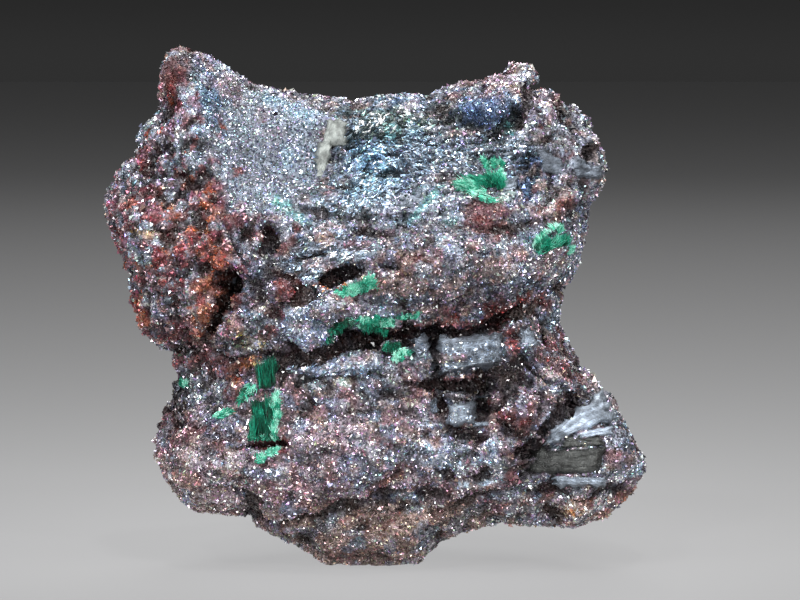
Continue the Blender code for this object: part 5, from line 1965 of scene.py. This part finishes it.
BARE_FACES = (
    BareFaces("fibrous_slabs", SLABS, PlateFinish("silver_fibres", 0.75, 0.25, 0.80, 10, 0.12, 0.12)),
    BareFaces("vein_core", VEIN_CORE, PlateFinish("dark_vein", 0.45, 0.20, 0.45, 4, 0.04)),
    BareFaces("vein_bands", VEIN_BANDS, PlateFinish("striated_bands", 0.45, 0.28, 0.60, -28, 0.10, 0.12)),
    BareFaces("grey_band", GREY_BAND, PlateFinish("grey_fibres", 0.75, 0.30, 0.5, 15, 0.06)),
    BareFaces("smooth_patch", SMOOTH_PATCH, PlateFinish("beige_mineral", 0.10, 0.35, 0.25, 60, 0.05)),
)


# ---- Malachite -----------------------------------------------------------------------------------
@dataclass(frozen=True)
class Strip:
    """A strip of bundles of malachite fibres.

    Attributes:
        route: Its middle line, (x, z) in mm.
        half_width: In mm.
        reach: Length of its fibres in mm.
        turn: The way they lean, in degrees from +x towards +z.
        fan: How far the bundles spread from that way, in degrees.
        bundles: How many there are.
        low: Least tone, from 0 for nearly black to 1 for pale mint. Low tones also paint shade.
        high: Greatest tone. High tones also paint highlights.
        lobes: How many humps its edge has.
        lift: How much the fibres stand off the crust, from 0 to 1.
        spread: How far fibres spread in a bundle.
    """

    route: Route
    half_width: float
    reach: float
    turn: float
    fan: float
    bundles: int
    low: float
    high: float
    lobes: int = 2
    lift: float = 0.5
    spread: float = 0.2


GROWTHS = {
    "malachite_spray_top": (
        Strip(((7.1, 28.6), (8.3, 28.2)), 0.28, 1.1, 95, 35, 34, 0.25, 0.68, 2, 0.5, 0.3),
        Strip(((7, 29.9), (8.3, 29.8)), 0.25, 0.5, 110, 60, 20, 0.35, 0.80, 2, 0.5, 0.35),
        Strip(((8.1, 29.9), (8.4, 28.6)), 0.12, 0.35, 10, 40, 10, 0.70, 0.95, 2),
    ),
    "malachite_plume_top": (
        Strip(((8, 28.5), (6.4, 28.6)), 0.16, 1.2, 172, 14, 16, 0.35, 0.75, 2, 0.3, 0.16),
        Strip(((7.2, 27.7), (5.7, 28.2), (5.2, 28.5)), 0.20, 1.1, 160, 24, 26, 0.40, 0.95, 3, 0.35, 0.24),
        Strip(((5.8, 27.8), (7.6, 27.1)), 0.14, 0.8, -25, 24, 16, 0.35, 0.90, 2, 0.35, 0.24),
    ),
    "malachite_tuft_right": (
        Strip(((10.9, 23.4), (12, 23.7), (13.2, 23.9)), 0.28, 0.95, 75, 36, 38, 0.22, 0.62, 3, 0.5, 0.28),
        Strip(((10.8, 23.6), (11.6, 24.7), (12.6, 25.2)), 0.12, 0.5, 120, 30, 16, 0.70, 1, 1),
        Strip(((12.6, 24.8), (12.9, 25.2)), 0.12, 0.6, 55, 20, 8, 0.65, 0.95, 1),
        Strip(((13.2, 23.3), (13.6, 23.5)), 0.15, 0.5, 40, 40, 8, 0.70, 1, 1),
    ),
    "malachite_tuft_centre": (
        Strip(((-3.3, 20.2), (-2.6, 20.3), (-1.5, 20.7)), 0.22, 0.75, 66, 26, 46, 0.50, 0.85, 3, 0.5, 0.3),
        Strip(((-1.9, 20.8), (-1.5, 21.2)), 0.15, 0.7, 70, 20, 14, 0.50, 0.80, 1, 0.5, 0.3),
        Strip(((-4.2, 20.3), (-3.2, 20)), 0.12, 0.35, 200, 40, 8, 0.60, 0.90, 1),
    ),
    "malachite_ledge_growth": (
        Strip(((-2.9, 18.1), (-1.2, 17.9), (0.3, 17.9)), 0.30, 0.55, 80, 70, 46, 0.45, 0.90, 4, 0.6, 0.3),
        Strip(((-1.8, 17.8), (-0.4, 17.5)), 0.25, 0.6, -90, 40, 22, 0.10, 0.45, 2, 0.5, 0.3),
        Strip(((-2.8, 18.2), (-4, 17.6), (-4.7, 16.7)), 0.20, 0.5, -110, 40, 28, 0.05, 0.40, 2),
        Strip(((0.5, 18.3), (2.2, 18.5)), 0.16, 0.35, 60, 60, 16, 0.35, 0.80, 3),
    ),
    "malachite_cleft_patch": (
        Strip(((-0.6, 16.2), (0.8, 16.3)), 0.28, 0.5, -70, 70, 22, 0.15, 0.55, 2, 0.5, 0.35),
        Strip(((0.3, 15.3), (1.3, 15.8)), 0.28, 0.5, 20, 90, 24, 0.60, 1, 2, 0.6, 0.35),
    ),
    "malachite_blade_bunch": (
        Strip(((-9.7, 13.2), (-8.7, 13.3)), 0.18, 2.1, 91, 9, 22, 0.04, 0.46, 3, 0.2, 0.09),
        Strip(((-9.6, 14.2), (-8.6, 14.2)), 0.30, 1, 88, 18, 12, 0.20, 0.62, 2, 0.3, 0.16),
        Strip(((-10.4, 9.5), (-9, 9.4)), 0.16, 1.9, 90, 9, 28, 0.02, 0.40, 3, 0.2, 0.08),
        Strip(((-10.2, 11.1), (-8.9, 11)), 0.34, 1.6, 90, 12, 22, 0.04, 0.44, 2, 0.2, 0.11),
        Strip(((-10.5, 9.3), (-8.7, 9.3)), 0.10, 0.35, 80, 60, 14, 0.30, 0.75, 2, 0.5, 0.4),
        Strip(((-8.7, 9.3), (-8.5, 12.5)), 0.16, 0.6, 75, 35, 34, 0.60, 1, 4, 0.5, 0.3),
        Strip(((-10.3, 13.4), (-11.2, 12)), 0.20, 0.6, -125, 40, 22, 0.25, 0.75, 3, 0.5, 0.3),
        Strip(((-10.7, 12.6), (-10.3, 13.1)), 0.16, 0.4, 90, 80, 10, 0.90, 1, 1, 0.6, 0.3),
    ),
    "malachite_chips_left": (Strip(((-13.2, 10.8), (-12.2, 11.3)), 0.22, 0.6, 30, 30, 22, 0.45, 0.95, 2),),
    "malachite_chips_low": (
        Strip(((-9.9, 7.6), (-9.4, 7.8)), 0.20, 0.5, 60, 60, 12, 0.65, 1, 1),
        Strip(((-9.1, 8.2), (-8.6, 8.5)), 0.18, 0.4, 40, 50, 10, 0.60, 1, 1),
    ),
    "malachite_edge_tuft": (
        Strip(((-15.6, 13.2), (-15.5, 14)), 0.14, 0.5, 90, 40, 14, 0.40, 0.70, 1),
        Strip(((-15.4, 13.2), (-15.3, 13.6)), 0.10, 0.4, 80, 40, 8, 0.80, 1, 1),
    ),
}


THIRDS = (0.0, 2.0943951, 4.1887902)  # of a turn, in radians


@dataclass
class Malachite:
    """The growths, each a crowd of bundles of fibres."""

    # The greens run from nearly black to pale mint. Besides the fibres' own lighter and darker greens, the
    # dark end paints shade and the pale end paints highlights.
    tones: tuple[float, ...] = (0.0, 0.35, 0.70, 1.0)
    greens: tuple[Triple, ...] = (
        (0.0006, 0.012, 0.007), (0.003, 0.165, 0.088), (0.020, 0.56, 0.36), (0.62, 1.0, 0.88)
    )  # fmt: skip
    per_bundle: int = 22
    thickness: float = 0.042

    def colour(self, tone: Array) -> Array:
        """The green of a tone."""
        return np.stack([np.interp(tone, self.tones, channel) for channel in zip(*self.greens)], axis=-1)

    def fibres(self, strip: Strip, rng: np.random.Generator, depth: FrontDepth) -> tuple[Array, Array]:
        """The fibres of a strip: each has three corners about its root, and a tip.

        A bundle's length is reach (0.55 + 0.45 |cos(pi lobes s)|) with s its share of the way along the route.

        Args:
            strip: Its sizes.
            rng: The source of chance.
            depth: Where the crust lies.

        Returns:
            The corners of each fibre in mm, and the tone at each: darker at the root as painted shade, lighter
            at the tip as painted light.
        """
        route = np.array(strip.route)
        reached = np.concatenate([[0.0], np.cumsum(np.hypot(*np.diff(route, axis=0).T))])
        share = rng.uniform(0.0, 1.0, strip.bundles)
        spot = rng.normal(0.0, 0.5, (strip.bundles, 2)) * strip.half_width
        line = [np.interp(share * reached[-1], reached, route[:, k]) for k in (0, 1)]
        level = np.quantile(depth.on(*line), 0.3)
        x, z = line[0] + spot[:, 0], line[1] + spot[:, 1]
        root = EYE.stand(x, z, np.clip(depth.on(x, z), level - 0.8, level + 0.8) - 0.05)
        turn = np.radians(strip.turn + strip.fan * rng.uniform(-1.0, 1.0, strip.bundles))
        lift = strip.lift * rng.uniform(0.4, 1.6, strip.bundles)
        way = unit(np.stack([np.cos(turn), -lift, np.sin(turn)], axis=1))
        humps = 0.55 + 0.45 * np.abs(np.cos(math.pi * strip.lobes * share))
        long = strip.reach * humps * rng.uniform(0.75, 1.1, strip.bundles)
        tone = strip.low - 0.1 + (strip.high - strip.low + 0.2) * rng.uniform(0.0, 1.0, strip.bundles)
        each = np.repeat(np.arange(strip.bundles), self.per_bundle)
        count = len(each)
        start = root[each] + rng.normal(0.0, 0.09, (count, 3)) * (1.0, 0.5, 1.0)
        ways = unit(way[each] + strip.spread * rng.normal(size=(count, 3)))
        length = long[each] * rng.uniform(0.5, 1.05, count)
        thick = self.thickness * rng.uniform(0.7, 1.5, count)
        side = unit(np.cross(ways, rng.normal(size=(count, 3))))
        other = np.cross(ways, side)
        turns = np.array(THIRDS)[None, :, None]
        ring = np.cos(turns) * side[:, None] + np.sin(turns) * other[:, None]
        ring = start[:, None] + ring * thick[:, None, None]
        corners = np.concatenate([ring, (start + ways * length[:, None])[:, None]], axis=1)
        tone = tone[each] + rng.normal(0.0, 0.07, count)
        # painted shade and light: the three corners at a fibre's root are darker than its tip
        return corners, np.clip(np.stack([tone - 0.16] * 3 + [tone + 0.12], axis=1), 0.0, 1.0)

    def build_growth(self, node: str, seed: int, depth: FrontDepth) -> bpy.types.Object:
        """One growth, from its strips.

        Args:
            node: The solid it stands for.
            seed: Its own source of chance.
            depth: Where the crust lies.

        Returns:
            The growth.
        """
        rng = np.random.default_rng(seed)
        made = [self.fibres(strip, rng, depth) for strip in GROWTHS[node]]
        corners, tone = (np.concatenate(parts) for parts in zip(*made))
        looks = np.concatenate([self.colour(tone), np.zeros((*tone.shape, 1))], axis=2)
        material = bpy.data.materials.get("malachite_fibres") or MalachiteFinish().material()
        rough = np.ones(len(corners))
        piece = join_solids(node + "_fibres", corners, np.array(SHARD_FACES), looks, rough, material)
        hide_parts(node)
        return piece

    def build(self, depth: FrontDepth) -> list[bpy.types.Object]:
        """All growths."""
        return [self.build_growth(node, 100 + k, depth) for k, node in enumerate(GROWTHS)]


# ---- Studio --------------------------------------------------------------------------------------
@dataclass(frozen=True)
class Lamp:
    """A soft rectangular lamp.

    Attributes:
        name: Its name.
        place: Where it stands, in metres.
        size: Its width and height in metres.
        power: In watts.
        tint: Its colour.
    """

    name: str
    place: Triple
    size: tuple[float, float]
    power: float
    tint: Triple = (1.0, 1.0, 1.0)


@dataclass
class Studio:
    """Floor, lamps, surroundings and camera."""

    aim: Triple = (0.00185, 0.0014, 0.01915)
    distance: float = 0.25
    elevation: float = 4.0
    lens: float = 150.0
    sensor: float = 36.0
    clip_start: float = 0.01
    floor_sides: int = 96
    floor_radii: tuple[float, ...] = (0.05, 0.3, 1.5, 8.0)
    lamps: tuple[Lamp, ...] = (
        Lamp("top_softbox", (0.0, -0.12, 0.70), (0.80, 0.60), 4.5),
        Lamp("left_softbox", (-0.55, -0.45, 0.40), (0.28, 0.40), 2.8, (0.95, 0.97, 1.0)),
        Lamp("right_softbox", (0.60, -0.35, 0.30), (0.22, 0.36), 1.6, (1.0, 0.97, 0.94)),
        Lamp("front_fill", (0.05, -0.80, 0.25), (0.50, 0.30), 1.0),
        Lamp("key_left", (-0.22, -0.40, 0.50), (0.06, 0.06), 1.1),
        Lamp("key_right", (0.25, -0.45, 0.45), (0.05, 0.05), 0.8),
        Lamp("key_high", (0.02, -0.20, 0.65), (0.06, 0.06), 1.1),
        Lamp("rim_back", (0.10, 0.55, 0.45), (0.40, 0.30), 1.6),
        Lamp("low_fill", (0.0, -0.55, 0.07), (0.50, 0.10), 1.5),
    )

    def floor(self) -> bpy.types.Object:
        """A round plain floor at z = 0, with the specimen at its middle."""
        sides = self.floor_sides
        turns = np.linspace(0.0, 2.0 * math.pi, sides, endpoint=False)
        circle = np.column_stack([np.cos(turns), np.sin(turns), np.zeros(sides)])
        points = np.concatenate([np.zeros((1, 3)), *(radius * circle for radius in self.floor_radii)])
        here = 1 + np.arange(sides)
        step = 1 + (np.arange(sides) + 1) % sides
        faces = [tuple(row) for row in np.column_stack([np.zeros(sides, int), here, step]).tolist()]
        for inner in range(0, sides * (len(self.floor_radii) - 1), sides):
            outer = inner + sides
            quads = np.column_stack([here + inner, here + outer, step + outer, step + inner])
            faces += [tuple(row) for row in quads.tolist()]
        mesh = bpy.data.meshes.new("floor")
        mesh.from_pydata(points.tolist(), [], faces)
        mesh.materials.append(FloorFinish().material())
        floor = bpy.data.objects.new("floor", mesh)
        bpy.context.scene.collection.objects.link(floor)
        return floor

    def light(self, lamp: Lamp) -> bpy.types.Object:
        """Hangs one lamp, facing the specimen and hidden from the camera."""
        data = bpy.data.lights.new(lamp.name, "AREA")
        data.shape = "RECTANGLE"
        data.size, data.size_y = lamp.size
        data.energy = lamp.power
        data.color = lamp.tint
        light = bpy.data.objects.new(lamp.name, data)
        light.location = lamp.place
        light.rotation_euler = (Vector(self.aim) - Vector(lamp.place)).to_track_quat("-Z", "Y").to_euler()
        light.visible_camera = False
        bpy.context.scene.collection.objects.link(light)
        return light

    def surroundings(self) -> None:
        """A dark room, a little lighter at the horizon, and a soft glow overhead from a height of 0.15."""
        world = bpy.data.worlds.new("room")
        world.use_nodes = True
        tree = world.node_tree
        places = tree.nodes.new("ShaderNodeTexCoord")
        height = tree.nodes.new("ShaderNodeSeparateXYZ")
        tree.links.new(places.outputs["Generated"], height.inputs[0])
        total = tree.nodes.new("ShaderNodeMath")
        for number, run in enumerate(((0.0, 0.025, 0.029, 0.021), (0.15, 0.95, 0.0, 0.53))):
            glow = tree.nodes.new("ShaderNodeMapRange")
            glow.interpolation_type = "SMOOTHSTEP"
            for socket, value in zip(("From Min", "From Max", "To Min", "To Max"), run):
                glow.inputs[socket].default_value = value
            tree.links.new(height.outputs["Z"], glow.inputs["Value"])
            tree.links.new(glow.outputs[0], total.inputs[number])
        tree.links.new(total.outputs[0], tree.nodes["Background"].inputs["Color"])
        bpy.context.scene.world = world

    def camera(self) -> bpy.types.Object:
        """The camera, which looks at the show face from a little above."""
        data = bpy.data.cameras.new("camera")
        data.lens = self.lens
        data.sensor_width = self.sensor
        data.clip_start = self.clip_start
        camera = bpy.data.objects.new("camera", data)
        angle = math.radians(self.elevation)
        back = Vector((0.0, -math.cos(angle), math.sin(angle)))
        camera.location = Vector(self.aim) + back * self.distance
        camera.rotation_euler = (-back).to_track_quat("-Z", "Y").to_euler()
        bpy.context.scene.collection.objects.link(camera)
        bpy.context.scene.camera = camera
        return camera

    def build(self) -> None:
        """Sets up the whole studio."""
        self.floor()
        for lamp in self.lamps:
            self.light(lamp)
        self.surroundings()
        self.camera()
        bpy.context.scene.view_settings.view_transform = "Standard"


def main() -> None:
    """Builds the mass, its druse, its bare faces, its malachite and the studio, and notes the sizes."""
    logging.basicConfig(level=logging.INFO, format="%(name)s: %(message)s")
    Studio().build()
    mass = LepidocrociteMass()
    mass.build()
    Druse(mass).build()
    Flakes(mass).build()
    depth = FrontDepth(mass.points, mass.quads)
    plates = {faces.name: faces.build(depth) for faces in BARE_FACES}
    Scales().build([plates["fibrous_slabs"]])
    Malachite().build(depth)


if __name__ == "__main__":
    main()
